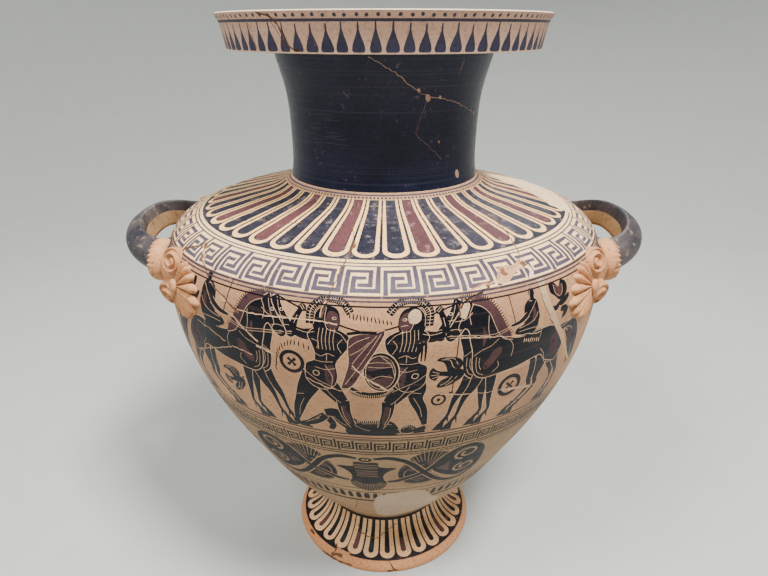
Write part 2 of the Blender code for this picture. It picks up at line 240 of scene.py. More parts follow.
class Wall:
    """The outside of one thrown section, opened flat for the brush.

    x is millimetres round the pot at the reference radius, 0 at the middle of the front and
    growing to the right; y is millimetres up the profile, from `lowest` at its foot. Every
    drawing is in these millimetres, and marks are painted in order. The sheet's rims are in
    single precision, in which the net gives its points back, so that they meet exactly.
    """

    def __init__(self, outline, reference, lowest=0.0):
        points = np.asarray(outline, float)
        steps = np.linalg.norm(np.diff(points, axis=0), axis=1)
        self.outline = points
        self.arc = lowest + np.concatenate([[0.0], np.cumsum(steps)]) / MM
        self.lowest = lowest
        self.top = float(np.float32(self.arc[-1]))
        self.arc[-1] = self.top
        self.slope = unit(np.gradient(points, self.arc, axis=0))
        self.half = float(np.float32(math.pi * reference))
        columns = np.linspace(-self.half, self.half, TURN_COLUMNS + 1)
        self.columns = columns.astype(np.float32).astype(float)
        self.marks = []
        self.cracks = []

    def paint(self, paint, *outlines):
        """Closed flat outlines filled with one paint, over all that is there."""
        self.marks.extend((paint, np.asarray(outline, float)) for outline in outlines)

    def ring(self, paint, low, high):
        """A band all the way round between two places up the profile."""
        self.paint(paint, box(-self.half, low, self.half, high))

    def crack(self, paint, stations, width, depth, shake=0.5):
        """A broken joint: a line shaken at every crack step, painted as a ragged strip and sunk
        like a groove that shallows to nothing at its sides."""
        stations = np.asarray(stations, float)
        reach = np.concatenate([[0], np.cumsum(np.linalg.norm(np.diff(stations, axis=0), axis=1))])
        count = max(3, round(reach[-1] / CRACK_STEP))
        along = np.linspace(0, reach[-1], count)
        line = np.column_stack([np.interp(along, reach, stations[:, i]) for i in (0, 1)])
        line[1:-1] += hand.uniform(-shake, shake, (count - 2, 2))
        half = leftward(line) * (width / 2 * hand.uniform(0.55, 1.2, count)[:, None])
        for side in (line + half, line - half):
            self.paint(paint, *patches(line, side))
        self.cracks.append((line, width / 2, depth))

    def wrapped(self, shape):
        """A mark kept off the sheet's rims, with its copy over the seam behind the pot."""
        rims = (self.lowest + MARGIN, self.top - MARGIN)
        shape = np.column_stack([shape[:, 0], np.clip(shape[:, 1], *rims)])
        for turn in (-2 * self.half, 0.0, 2 * self.half):
            moved = shape + (turn, 0.0)
            if moved[:, 0].min() < self.half and moved[:, 0].max() > -self.half:
                moved[:, 0] = np.clip(moved[:, 0], -self.half, self.half)
                yield moved

    def depth(self, flat):
        """How deep each flat point is sunk by the cracks, in metres: the whole depth over the
        middle third of a crack, falling off evenly to its sides and to the sheet's rims."""
        sunk = np.zeros(len(flat))
        for line, half, deep in self.cracks:
            near = ((flat > line.min(axis=0) - half) & (flat < line.max(axis=0) + half)).all(axis=1)
            share = np.clip(1.5 * (1 - distance_to(flat[near], line) / half), 0, 1)
            sunk[near] = np.maximum(sunk[near], deep * share)
        to_rim = np.minimum(flat[:, 1] - self.lowest, self.top - flat[:, 1])
        return sunk * np.clip(to_rim / FADE, 0, 1)

    def place(self, flat, sunk):
        """Points and outward normals: y gives radius and height on the profile, and x over the
        half turn gives the azimuth."""
        profile, slope = (
            np.column_stack([np.interp(flat[:, 1], self.arc, values) for values in pair.T])
            for pair in (self.outline, self.slope)
        )
        points, normals = turned(flat[:, 0] / self.half * math.pi, profile, slope)
        return points - normals * sunk[:, None], normals

    def skin(self, ground):
        """The flat sheet netted by constrained Delaunay triangles along every painted edge,
        wrapped round the profile. Each triangle takes the last paint laid over its middle."""
        rows = np.linspace(self.lowest, self.top, round((self.top - self.lowest) / ROW_STEP) + 1)
        x, y = np.meshgrid(self.columns, rows)
        points = [np.column_stack([x.ravel(), y.ravel()])]
        marks = [(paint, copy) for paint, mark in self.marks for copy in self.wrapped(mark)]
        edges = []
        count = len(points[0])
        for _, mark in marks:
            fine = finely(mark, ROW_STEP)
            number = np.arange(len(fine))
            edges.append(count + np.column_stack([number, np.roll(number, -1)]))
            points.append(fine)
            count += len(fine)
        flat = np.vstack(points)
        seam_heights = np.unique(flat[np.abs(flat[:, 0]) == self.half, 1])
        for side in (-self.half, self.half):
            seam = np.column_stack([np.full(len(seam_heights), side), seam_heights])
            flat = np.vstack([flat, seam])
        edges = np.vstack(edges).tolist()
        net = delaunay_2d_cdt([Vector(p) for p in flat.tolist()], edges, [], 0, SAME_POINT, False)
        flat = np.array([tuple(p) for p in net[0]])
        triangles = np.array(net[2])
        a, b, c = (flat[triangles[:, i]] for i in range(3))
        backward = (b - a)[:, 0] * (c - a)[:, 1] < (b - a)[:, 1] * (c - a)[:, 0]
        triangles[backward] = triangles[backward][:, ::-1]
        middle = flat[triangles].mean(axis=1)
        order = np.argsort(middle[:, 0])
        paints = np.full(len(triangles), ground)
        for paint, mark in marks:
            (left, low), (right, high) = mark.min(axis=0), mark.max(axis=0)
            first, last = np.searchsorted(middle[order, 0], (left, right))
            near = order[first:last]
            near = near[(middle[near, 1] > low) & (middle[near, 1] < high)]
            paints[near[inside(middle[near], mark)]] = paint
        sunk = self.depth(flat)
        points, normals = self.place(flat, sunk)
        corner_normals = normals[triangles]
        groove = (sunk[triangles] > 0).any(axis=1)
        a, b, c = (points[triangles[groove][:, i]] for i in range(3))
        flat_normal = np.cross(b - a, c - a)
        flat_normal /= np.maximum(np.linalg.norm(flat_normal, axis=1), 1e-12)[:, None]
        corner_normals[groove] = flat_normal[:, None, :]
        return points, corner_normals, triangles, paints

    def strip(self, outline, paint):
        """A turned surface on the same columns: the outline carried round the axis, its
        normals square to its own run."""
        outline = np.asarray(outline, float)
        slope = unit(np.gradient(outline, axis=0))
        count = len(self.columns)
        azimuth = np.tile(self.columns / self.half * math.pi, len(outline))
        points, normals = turned(azimuth, outline.repeat(count, axis=0), slope.repeat(count, axis=0))
        triangles = grid_triangles(len(outline), count)
        return points, normals[triangles], triangles, np.full(len(triangles), paint)


def joined(name, parts, finishes):
    """One closed mesh from (points, corner normals or None, triangles, paints) parts: points
    that fall together become one, and triangles that shrink to a line are dropped."""
    starts = np.cumsum([0] + [len(part[0]) for part in parts])
    points = np.vstack([part[0] for part in parts])
    triangles = np.vstack([part[2] + start for part, start in zip(parts, starts)])
    paints = np.concatenate([part[3] for part in parts])
    keys = np.round(points * WELD_CELLS).astype(np.int64)
    _, first, same = np.unique(keys, axis=0, return_index=True, return_inverse=True)
    triangles = same.ravel()[triangles]
    a, b, c = triangles.T
    kept = (a != b) & (b != c) & (c != a)
    triangles, paints = triangles[kept], paints[kept]
    used, slots = np.unique(paints, return_inverse=True)
    mesh = bpy.data.meshes.new(name)
    mesh.vertices.add(len(first))
    mesh.vertices.foreach_set("co", points[first].ravel())
    mesh.loops.add(triangles.size)
    mesh.loops.foreach_set("vertex_index", triangles.ravel())
    mesh.polygons.add(len(triangles))
    mesh.polygons.foreach_set("loop_start", np.arange(0, triangles.size, 3))
    mesh.polygons.foreach_set("material_index", slots.ravel())
    mesh.polygons.foreach_set("use_smooth", np.ones(len(triangles), bool))
    mesh.update(calc_edges=True)
    if parts[0][1] is not None:
        normals = np.vstack([part[1] for part in parts])[kept]
        mesh.normals_split_custom_set(normals.reshape(-1, 3))
    for paint in used:
        mesh.materials.append(finishes[paint])
    piece = bpy.data.objects.new(name, mesh)
    bpy.context.scene.collection.objects.link(piece)
    return piece


def box(left, low, right, high):
    """A level four-sided shape."""
    return np.array([(left, low), (right, low), (right, high), (left, high)], float)


def dab(x, y, wide, high, turn=0.0, sides=14):
    """An oval touch of the brush, turned by an angle in degrees."""
    around = np.arange(sides) / sides * math.tau
    flat = np.column_stack([np.cos(around) * wide / 2, np.sin(around) * high / 2])
    return moved(flat, x, y, turn)


def moved(shape, x, y, turn=0.0, flip=1.0, size=1.0):
    """A shape scaled, mirrored, turned by an angle in degrees and then shifted."""
    cos, sin = math.cos(math.radians(turn)), math.sin(math.radians(turn))
    shape = np.asarray(shape, float) * (flip * size, size)
    return shape @ np.array([(cos, sin), (-sin, cos)]) + (x, y)


def tongue(x, root, tip, width, rounding, root_share=1.0):
    """A tongue between root and tip, square at the root and half an oval at the tip."""
    side = math.copysign(rounding, tip - root)
    turn = np.linspace(math.pi, 0, 11)
    end = np.column_stack([x + width / 2 * np.cos(turn), tip - side + side * np.sin(turn)])
    half = width / 2 * root_share
    return np.vstack([[(x - half, root)], end, [(x + half, root)]])


clay_tan = (196, 152, 116)
foot_finishes = {
    CLAY: fired("foot clay", (208, 140, 92), (212, 152, 106), (224, 174, 132), 0.64, 0.62),
    SLIP: fired("foot slip", (24, 18, 24), (36, 29, 34), (150, 104, 78), 0.63, 0.42),
    RED: fired("foot added red", (112, 62, 62), (92, 58, 62), (60, 44, 48), 0.62, 0.6),
    CREAM: fired("foot cream", (255, 204, 150), (242, 186, 132), (204, 148, 106), 0.64, 0.6),
    BREAK: fired("foot break", (96, 66, 48), (130, 92, 66), (160, 118, 88), 0.6, 0.8),
    INSIDE: fired("bare clay underneath", (186, 134, 98), clay_tan, clay_tan, 0.7, 0.8),
}
foot_outline = smooth_through([
    (RESTING_RING_OUTSIDE, 0.0),
    (FOOT_RADIUS - 0.0001, 0.0022),
    (FOOT_RADIUS - 0.0003, 0.0058),
    (FOOT_RADIUS - 0.0022, 0.0090),
    (FOOT_RADIUS - 0.0057, 0.0106),
    (JOINT_RADIUS + 0.0105, 0.0142),
    (JOINT_RADIUS + 0.0035, 0.0206),
    (JOINT_RADIUS - 0.0012, 0.0290),
    (JOINT_RADIUS - 0.0028, 0.0372),
    (JOINT_RADIUS, JOINT_HEIGHT),
], 6)
foot_wall = Wall(foot_outline, FOOT_REFERENCE)
foot_wall.ring(SLIP, *FOOT_BAND)
pitch = 2 * foot_wall.half / FOOT_TONGUES
for i in range(FOOT_TONGUES):
    x = FIRST_FOOT_TONGUE + (i - FOOT_TONGUES / 2) * pitch + hand.uniform(-0.3, 0.3)
    tip = hand.uniform(13.9, 15.0)
    foot_wall.paint(CREAM, tongue(x, FOOT_TONGUE_ROOT, tip, pitch - 1.6, 5.4, 0.97))
    tip = hand.uniform(18.2, 19.4)
    foot_wall.paint(SLIP, tongue(x, FOOT_TONGUE_ROOT, tip, pitch * 0.33, 2.5, 0.80))
    if i % 3 == 1:
        foot_wall.paint(RED, tongue(x, hand.uniform(30, 36), tip + 0.5, pitch * 0.27, 2.2, 0.9))
foot_wall.ring(SLIP, *FOOT_COLLAR)
for x in (-39, -35, -31):
    foot_wall.paint(CLAY, dab(x, 13.2, 6, 2.6, hand.uniform(-8, 8), 9))
for crack in (
    ([(-42, 4), (-42, 8), (-41, 14), (-44, 17)], 1.3, 0.0009),
    ([(3.6, 12), (7, 7), (8, 4)], 1.3, 0.0009),
    ([(-8, 31), (0, 36), (14, 44)], 0.8, 0.0004),
    ([(-30, 40), (-24, 34), (-17, 32), (-9, 31)], 0.8, 0.0004),
    ([(-55, 2.2), (-45, 2.8), (-36, 2.2), (-25, 3.0)], 4.0, 0.0012),
    ([(-44, 6), (-40, 8.4), (-34, 9.6)], 3.0, 0.0010),
    ([(3, 2.4), (10, 2.6)], 3.6, 0.0012),
    ([(-73, 10), (-67, 10.2)], 2.0, 0.0008),
):
    foot_wall.crack(BREAK, *crack)
underside = smooth_through([
    (0.0, JOINT_HEIGHT - 0.0050),
    (0.0380, JOINT_HEIGHT - 0.0060),
    (0.0470, 0.0270),
    (0.0580, 0.0125),
    (0.0690, 0.0035),
    (RESTING_RING_INSIDE, 0.0),
], 5)
foot = joined("foot", [
    foot_wall.skin(CLAY),
    foot_wall.strip([(JOINT_RADIUS, JOINT_HEIGHT), (0.0, JOINT_HEIGHT)], INSIDE),
    foot_wall.strip(underside, INSIDE),
    foot_wall.strip([(RESTING_RING_INSIDE, 0.0), (RESTING_RING_OUTSIDE, 0.0)], INSIDE),
], foot_finishes)
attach(foot, "root")
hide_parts("amphora")

# Lower body
# The bottom of the thrown body, from its joint with the foot to the ground line under the
# figures. A key pattern, a chain of palmettes and a row of short strokes run round it in
# black slip, and a plain filled patch takes up the front below them.
WALL_THICKNESS = 0.0065
BELLY_RADIUS = 0.16925
NECK_RADIUS = 0.0697
NECK_BASE_HEIGHT = 0.3386
NECK_WAIST_HEIGHT = 0.3682
NECK_FLARE_HEIGHT = 0.3977
RIM_HEIGHT = 0.4500
FLOOR_THICKNESS = 0.0055
GROUND_HEIGHT = 0.2046
FRIEZE_MARGIN = 0.0057
LOWER_TOP_HEIGHT = GROUND_HEIGHT - FRIEZE_MARGIN
LOWER_REFERENCE = 130.0
SMALL_KEYS = 80
SHORT_STROKES = 109
FRONT_GROUP = -11.5
BACK_GROUP = 396.0
body_stations = [
    (JOINT_RADIUS, JOINT_HEIGHT),
    (0.0947, 0.0870),
    (0.1230, 0.1339),
    (0.1474, 0.1807),
    (0.1626, 0.2230),
    (BELLY_RADIUS - 0.0011, 0.2563),
    (BELLY_RADIUS - 0.0011, 0.2871),
    (0.1590, 0.3056),
    (0.1391, 0.3160),
    (0.1070, 0.3245),
    (0.0820, 0.3312),
    (NECK_RADIUS + 0.0014, NECK_BASE_HEIGHT),
]
body_outline = smooth_through(body_stations, 24)


def inset(points, distance):
    """The outline moved to its inner side, at right angles to its own run."""
    return points + distance * leftward(points)


def cut(outline, low, high):
    """The part of a rising outline between two heights, with a point on each."""
    radius, height = outline.T
    between_them = outline[(height > low + 1e-6) & (height < high - 1e-6)]
    ends = [(np.interp(z, height, radius), z) for z in (low, high)]
    return np.vstack([[ends[0]], between_them, [ends[1]]])


inner_stations = [
    (0.0400, JOINT_HEIGHT + WALL_THICKNESS),
    (JOINT_RADIUS - 0.0011, JOINT_HEIGHT + 0.0125),
    *inset(np.array(body_stations), WALL_THICKNESS)[1:-2],
    (NECK_RADIUS - WALL_THICKNESS + 0.0010, NECK_BASE_HEIGHT - 0.002),
    (NECK_RADIUS - WALL_THICKNESS, NECK_WAIST_HEIGHT),
    (NECK_RADIUS - WALL_THICKNESS + 0.0021, NECK_FLARE_HEIGHT),
    (NECK_RADIUS - WALL_THICKNESS + 0.0090, 0.4270),
    (NECK_RADIUS + 0.0125, 0.4345),
    (0.1006, 0.4415),
    (0.1114, 0.4490),
    (0.1118, RIM_HEIGHT),
]
inner_outline = smooth_through(inner_stations, 5)


def hooks(pitch, height, upright, level):
    """One unit of the key pattern as boxes: two hooked lines that wind into each other. The
    shares are each corner's place in the unit."""
    over = np.array([(0.045, 0), (0.045, 0.82), (0.65, 0.82), (0.65, 0.32), (0.38, 0.32)])
    under = np.array([(0.85, 1), (0.85, 0.14), (0.225, 0.14), (0.225, 0.565), (0.48, 0.565)])
    for way in (over * (pitch, height), under * (pitch, height)):
        for (x0, y0), (x1, y1) in zip(way, way[1:]):
            yield box(min(x0, x1) - upright / 2, min(y0, y1) - level / 2,
                      max(x0, x1) + upright / 2, max(y0, y1) + level / 2)


def key_ring(wall, paint, low, high, count, upright, level, start=0.0):
    """The key pattern carried round the wall, each line a little unsteady."""
    pitch = 2 * wall.half / count
    bars = list(hooks(pitch, high - low, upright, level))
    for i in range(count):
        for bar in bars:
            shaken = bar + hand.uniform(-0.12, 0.12, (4, 2)) * upright
            wall.paint(paint, shaken + (start + i * pitch - wall.half, low))


def stroke(stations, widths, steps=5):
    """A brush line: a smooth curve through the stations, as wide as the widths say, given as
    one four-sided shape to each step, so that it may cross itself."""
    ends = np.column_stack([np.asarray(stations, float), np.broadcast_to(widths, len(stations))])
    curve = smooth_through(ends, steps)
    line, half = curve[:, :2], curve[:, 2:] / 2
    half = leftward(line) * half
    return list(patches(line + half, line - half))


def painted(paint, outlines):
    """(paint, outline) pairs from several outlines in one paint."""
    return [(paint, outline) for outline in outlines]


def brushed(stations, widths, steps=5, paint=SLIP):
    """A brush line as (paint, outline) pairs."""
    return painted(paint, stroke(stations, widths, steps))


def fan(x, y, facing, length, spread, count):
    """A painted palmette: petals side by side round a heart, longest in the middle, with thin
    reserved lines between them and a red core. Returns (paint, outline) pairs."""
    shapes = []
    turns = facing + np.linspace(-1, 1, count) * spread / 2
    lengths = length * (1 - 0.22 * np.linspace(-1, 1, count) ** 2)
    width = 2 * length * math.sin(math.radians(spread / (count - 1) / 2)) * 0.98
    for turn, reach in zip(turns, lengths):
        petal = [(0, 0), (0.55 * reach, width * 0.36), (0.9 * reach, width * 0.5), (reach, 0),
                 (0.9 * reach, -width * 0.5), (0.55 * reach, -width * 0.36)]
        shapes.append((SLIP, moved(smooth_through(petal, 3, closed=True), x, y, turn)))
    for turn, reach in zip((turns[1:] + turns[:-1]) / 2, lengths):
        gap = [(0.55 * reach, -0.22), (reach * 1.02, -0.34), (reach * 1.02, 0.34), (0.55 * reach, 0.22)]
        shapes.append((CLAY, moved(gap, x, y, turn)))
    turn = math.radians(facing)
    core_x, core_y = x + 0.32 * length * math.cos(turn), y + 0.32 * length * math.sin(turn)
    shapes.append((LINE, dab(core_x, core_y, 0.50 * length, 0.62 * length, facing)))
    shapes.append((RED, dab(core_x, core_y, 0.42 * length, 0.54 * length, facing)))
    return shapes


def spiral(x, y, start, end, first, last, width):
    """A line that winds from one radius to another between two angles in degrees."""
    turn = np.radians(np.linspace(start, end, 14))
    reach = np.linspace(first, last, 14)
    line = np.column_stack([x + reach * np.cos(turn), y + reach * np.sin(turn) * 0.9])
    return stroke(line, width, 2)


def festoon(wall, middle):
    """One group of the chain: a lotus in the middle, and on each side two ribbons that cross
    over a round palmette and end round a leaf with a pair of spirals."""
    outer = [(5, 163), (14, 164.5), (22, 161), (29, 154), (35, 144), (43, 131.5), (51, 121),
             (62, 112.5), (71, 110.5), (79, 115), (82.5, 128.5), (80, 149)]
    inner = [(14, 124), (21, 125.5), (28.5, 130), (35, 134.5), (40, 138.5), (44, 145), (48, 154),
             (52.5, 161.5), (58, 166), (66, 167.5), (75, 162)]
    heart = (40, 137.5)
    bead = (middle, 161.6)
    disc = smooth_through([
        (28, 159), (27.5, 163), (32.5, 167.5), (38, 169), (45, 168), (52, 164), (50, 150), (44, 138),
        (50, 128), (54, 120.5), (47, 117), (38, 116), (29, 119), (22.5, 130), (21, 140), (23, 152),
    ], 4, closed=True)
    leaf = smooth_through([
        (44.5, 140.5), (50, 153), (55, 161), (64, 165), (74, 164), (80, 154), (82, 134), (79, 122),
        (72, 116), (58, 124), (50, 132),
    ], 4, closed=True)
    half_lotus = np.array([
        (0, 157.5), (7.5, 157.5), (8.5, 151), (19.5, 149), (13.5, 142), (11, 135), (11.5, 128),
        (13.5, 122), (12.5, 114), (8, 108), (0, 104),
    ])
    for flip in (-1, 1):
        shapes = [(SLIP, disc)]
        for turn in np.arange(62, 300, 5.2):
            shapes.append((CLAY, moved(box(19.5, -0.16, 36, 0.30), *heart, turn)))
        shapes += painted(CLAY, spiral(*heart, 100, 268, 15, 15, 0.7))
        shapes += painted(RED, [dab(31, 146, 9.5, 9, 40), dab(42, 154, 7, 10), dab(37, 125, 9, 8)])
        shapes += painted(CLAY, stroke(outer, 6.4) + stroke(inner, 6.4))
        shapes.append((CLAY, moved(leaf, -4.2, -9.8, size=1.07)))
        shapes += [(SLIP, leaf), (RED, np.array([(47.5, 140), (55, 149), (58, 132)]))]
        for ribbon in (outer, inner):
            shapes += brushed(ribbon, [2.6, *[4.3] * (len(ribbon) - 2), 2.6])
        shapes += painted(CLAY, spiral(66, 156.5, -100, -590, 9.4, 3.0, 1.9))
        shapes += painted(CLAY, spiral(71, 133, 120, 610, 9.8, 3.0, 1.9))
        for paint, shape in shapes:
            wall.paint(paint, moved(shape, middle, 0, flip=flip))
    lotus = np.vstack([half_lotus, half_lotus[-2:0:-1] * (-1, 1)])
    wall.paint(SLIP, moved(smooth_through(lotus, 3, closed=True), middle, 0))
    wall.paint(RED, moved(box(-7, 135.4, 7, 141.6), middle, 0))
    for y in (133.6, 143.2, 147.6, 150.4, 153.2):
        wall.paint(CLAY, moved(box(-7.6, y, 7.6, y + 0.6), middle, 0))
    for turn in np.linspace(212, 328, 19):
        wall.paint(CLAY, moved(box(10, -0.2, 24, 0.2), middle, 128, turn))
    wall.paint(CLAY, dab(*bead, 11, 9))
    wall.paint(SLIP, dab(*bead, 8.4, 6.6))
    wall.paint(CLAY, dab(middle, 161.8, 4.6, 3.2))
    wall.paint(SLIP, dab(middle, 161.8, 1.8, 1.6))


lower_finishes = {
    # Body clay set darker here than on the frieze and shoulder: painted shade on the lower body.
    CLAY: fired("lower clay with painted shade", (160, 126, 90), (138, 108, 78), (180, 146, 108), 0.68, 0.6, wheel=0.00008),
    SLIP: fired("lower slip", (12, 13, 16), (24, 24, 26), (100, 80, 60), 0.68, 0.5, wheel=0.00008,
                sheen=0.12),
    RED: fired("lower added red", (82, 54, 50), (68, 50, 48), (48, 42, 42), 0.6, 0.6),
    LINE: fired("lower incised line", (176, 148, 116), clay_tan, clay_tan, 0.7, 0.8),
    PLASTER: fired("lower restored plaster", (178, 154, 130), (168, 142, 118), (190, 166, 142),
                   0.7, 0.75, grain=0.00004),
    BREAK: fired("lower break", (92, 68, 50), (120, 92, 68), clay_tan, 0.6, 0.8),
    INSIDE: fired("inner wall", (150, 104, 76), (120, 82, 60), (96, 66, 50), 0.62, 0.75, wheel=0.0003),
}
lower_wall = Wall(cut(body_outline, JOINT_HEIGHT, LOWER_TOP_HEIGHT), LOWER_REFERENCE)
for low, high in ((11.4, 14.2), (78.6, 82.2), (99.8, 101.0), (107.2, 108.5), (169.1, 170.3),
                  (171.8, 173.0), (186.5, 187.1)):
    lower_wall.ring(SLIP, low, high)
key_ring(lower_wall, SLIP, 174.7, 185.1, SMALL_KEYS, upright=1.15, level=1.3, start=-5.5)
pitch = 2 * lower_wall.half / SHORT_STROKES
short_stroke = np.array([(-2.1, 85.6), (2.1, 85.6), (2.4, 92), (1.7, 97.8), (-1.7, 97.8), (-2.4, 92)])
for i in range(SHORT_STROKES):
    x = (i + 0.5) * pitch - lower_wall.half + hand.uniform(-0.4, 0.4)
    lower_wall.paint(SLIP, short_stroke * (hand.uniform(0.85, 1.1), 1) + (x, hand.uniform(-0.6, 0.6)))
festoon(lower_wall, FRONT_GROUP)
festoon(lower_wall, BACK_GROUP)
for side in (-1, 1):
    for x in range(120, 301, 30):
        y, facing = (112, 90) if x % 60 == 0 else (165, 270)
        for paint, shape in fan(x * side, y, facing, length=44, spread=50, count=7):
            lower_wall.paint(paint, shape)
        wave = stroke([(x - 15, 138), (x, y), (x + 15, 138)], 2.2)
        lower_wall.paint(SLIP, *[shape * (side, 1) for shape in wave])
patch = smooth_through([
    (-9.5, 78), (-6, 91), (1, 96), (10, 99.5), (22, 101), (33, 99), (40, 92), (44, 84), (52, 74),
    (61, 66), (60, 50), (52, 30), (30, 14.5), (-8, 14.5), (-10, 30), (-10.3, 42), (-10.6, 63),
], 4, closed=True)
lower_wall.paint(PLASTER, patch)
lower_wall.crack(BREAK, [(-34, 50), (-31, 60), (-28, 68), (-26, 80)], 0.7, 0.0004)
lower_wall.crack(BREAK, [(-36, 49), (-20, 43), (-4, 44), (-3, 58)], 0.4, 0.0002)
inner_part = cut(inner_outline, JOINT_HEIGHT + WALL_THICKNESS, LOWER_TOP_HEIGHT)
lower_body = joined("lower_body", [
    lower_wall.skin(CLAY),
    lower_wall.strip([lower_wall.outline[-1], inner_part[-1]], INSIDE),
    lower_wall.strip(np.vstack([inner_part[::-1], [(0.0, JOINT_HEIGHT + FLOOR_THICKNESS)]]), INSIDE),
    lower_wall.strip([(0.0, JOINT_HEIGHT), (JOINT_RADIUS, JOINT_HEIGHT)], INSIDE),
], lower_finishes)
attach(lower_body, "root")
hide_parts("amphora")

# Belly
# The widest part of the thrown body, with the frieze. Two fighters meet over a fallen one
# between mounted teams; the drawing is black slip, scored through to the clay and part red.
FRIEZE_TOP_HEIGHT = 0.3029
BELLY_REFERENCE = 165.0
TEAM_LEFT = -108.0
TEAM_RIGHT = 86.0
SEAT_HEIGHT = 68.0
HIP_HEIGHT = 50.0


def walled(name, wall, ground, low, high, finishes):
    """A thrown section as a closed ring of clay: its painted skin, the inner face between the
    same two heights, and the level joints above and below."""
    inner = cut(inner_outline, low, high)
    return joined(name, [
        wall.skin(ground),
        wall.strip([wall.outline[-1], inner[-1]], INSIDE),
        wall.strip(inner[::-1], INSIDE),
        wall.strip([inner[0], wall.outline[0]], INSIDE),
    ], finishes)


def put(shapes, x=0.0, y=0.0, flip=1.0, size=1.0, turn=0.0):
    """A drawing laid on the belly, shifted, mirrored, scaled and turned as told."""
    for paint, outline in shapes:
        belly_wall.paint(paint, moved(outline, x, y, turn, flip, size))


def blob(*stations, steps=4):
    """A smooth closed shape through the stations."""
    return smooth_through(stations, steps, closed=True)


def scored(*ways, width=0.30):
    """Lines scratched through the slip."""
    return painted(LINE, [piece for way in ways for piece in stroke(way, width, 4)])


def rimmed(shape, paint=SLIP, width=1.0):
    """A shape in slip with a scored rim, to part it from the slip behind it."""
    around = np.vstack([shape, shape[:1]])
    return brushed(around, width, 1, paint=LINE) + [(paint, shape)]


def limb(stations, widths, rim=0.0):
    """A tapered limb, if wanted with a scored rim."""
    wide = np.asarray(widths, float)
    back = brushed(stations, wide + rim, paint=LINE) if rim else []
    return back + brushed(stations, wide)


def horse_leg(stations, widths):
    """One leg down to its hoof, which points right, with a spur of hair behind."""
    x, y = stations[-1]
    hoof = np.array([(x - 2.0, y + 0.5), (x + 2.0, y + 0.5), (x + 5.6, y - 6.4), (x - 1.8, y - 6.4)])
    spur = stroke([(x - 3.4, y + 6), (x - 5.0, y - 1)], [1.6, 0.4], 2)
    return limb(stations, widths, 0.8) + painted(SLIP, [hoof, *spur])


def horse(shift, lift):
    """A standing horse that faces right: legs, body and head in slip, a red mane with a fringe,
    scored inner lines."""
    fore, hind = [8.0, 6.4, 4.6, 2.9, 2.4, 3.4], [15.0, 8.4, 4.8, 3.7, 2.5, 3.4]
    shapes = horse_leg([(-22, 50), (-20, 38), (-18.5, 30), (-20, 24), (-12, 14), (-5, 8)], hind)
    shapes += horse_leg([(-33, 50), (-35, 40), (-39, 32), (-42, 26), (-42, 17), (-38, 8)], hind)
    shapes += horse_leg([(29, 46), (32, 38), (36, 31), (38, 24), (39.5, 16), (43, 8)], fore)
    shapes += horse_leg([(20, 46), (19.5, 38), (19, 30), (18, 22), (17, 15), (21, 8)], fore)
    tail = [(-36, 61), (-44, 62), (-51, 60), (-56, 53), (-60, 43), (-62, 33), (-64, 22)]
    shapes += brushed(tail, [3.2, 4.8, 6.8, 8.4, 8.6, 6.4, 1.8], paint=LINE)
    shapes += brushed(tail, [2.4, 4.0, 6.0, 7.6, 7.8, 5.6, 1.2])
    shapes += rimmed(blob(
        (-38, 42), (-40, 48), (-38, 54), (-32, 62), (-24, 67.5), (-14, 68), (1, 67), (9, 68.5),
        (15, 72), (19, 78), (24, 88), (30, 94), (36, 96), (39, 98), (41.5, 92.5), (46, 86),
        (50.5, 79.5), (51.5, 75.5), (48.5, 73), (44, 76), (40, 80.5), (37.5, 78), (36.5, 72),
        (34.5, 64), (34, 55), (32, 48), (27, 44), (20, 44), (11, 45), (1, 46), (-9, 48),
        (-18, 48.5), (-23, 43), (-29, 40), (-35, 38), steps=3,
    ))
    crest = smooth_through([(35.5, 97), (30, 97.6), (24, 95), (19, 88.5), (15, 80.5), (10, 72)], 5)
    nape = [(8, 67), (14, 69), (18.5, 74), (21.5, 80), (24.5, 87), (29, 91.5), (35, 94)]
    nape = smooth_through(nape, 4)
    shapes.append((RED, np.vstack([crest, nape])))
    shapes += painted(SLIP, fringe(crest, -1.9, 0.9))
    shapes += brushed([(-47, 58), (-53, 50), (-56, 40)], [1.2, 3.0, 1.0], paint=RED)
    shapes += painted(RED, [
        blob((16, 64), (20, 63), (24, 57), (27, 54), (26, 50), (21, 52), (18, 56), (15, 60)),
        blob((-26, 57), (-30, 61), (-34, 55), (-36, 47), (-32, 42), (-28, 46)),
    ])
    shapes += brushed([(28.5, 79), (27.5, 73), (28, 67)], [1.4, 2.8, 1.2], paint=RED)
    shapes += scored(
        nape, [(33.5, 61), (29, 64), (23, 66), (18, 70)],
        [(31.8, 60), (31.6, 54), (30, 48.5), (26, 46)],
        [(29.6, 59), (29.6, 54), (28, 50)], [(20, 46.5), (16, 50), (17, 54)],
        [(16, 70), (10, 67), (7, 62), (7.5, 55)], [(25, 86), (25.5, 78), (24, 71)],
        [(-15, 68), (-14.5, 62.5)], [(-17, 53), (-21, 48), (-23, 42), (-27, 37)],
        [(34, 94), (37, 88), (36.4, 82)], [(38.5, 96), (41, 88), (44, 81), (42, 77)],
        [(35, 89), (40, 85.5), (46, 85)], [(42, 79.5), (46, 80.5), (50, 80)], [(47.5, 77), (50.5, 76.4)],
        [(49, 76.6), (36, 75.4), (22, 73.6), (11, 76)], [(49, 75.4), (36, 73.8), (22, 72), (11, 74.6)],
    )
    shapes += [(LINE, dab(42.4, 89, 2.8, 2.0)), (SLIP, dab(42.4, 89, 1.7, 1.2))]
    return [(paint, outline + (shift, lift)) for paint, outline in shapes]


def fringe(line, length, width):
    """Short touches of the brush that stand out from a line, one at each of its points."""
    left = leftward(line)
    side = np.column_stack([left[:, 1], -left[:, 0]]) * width / 2
    tip = line + length * left
    return list(np.stack([line - side, line + side, tip + 0.4 * side, tip - 0.4 * side], axis=1))


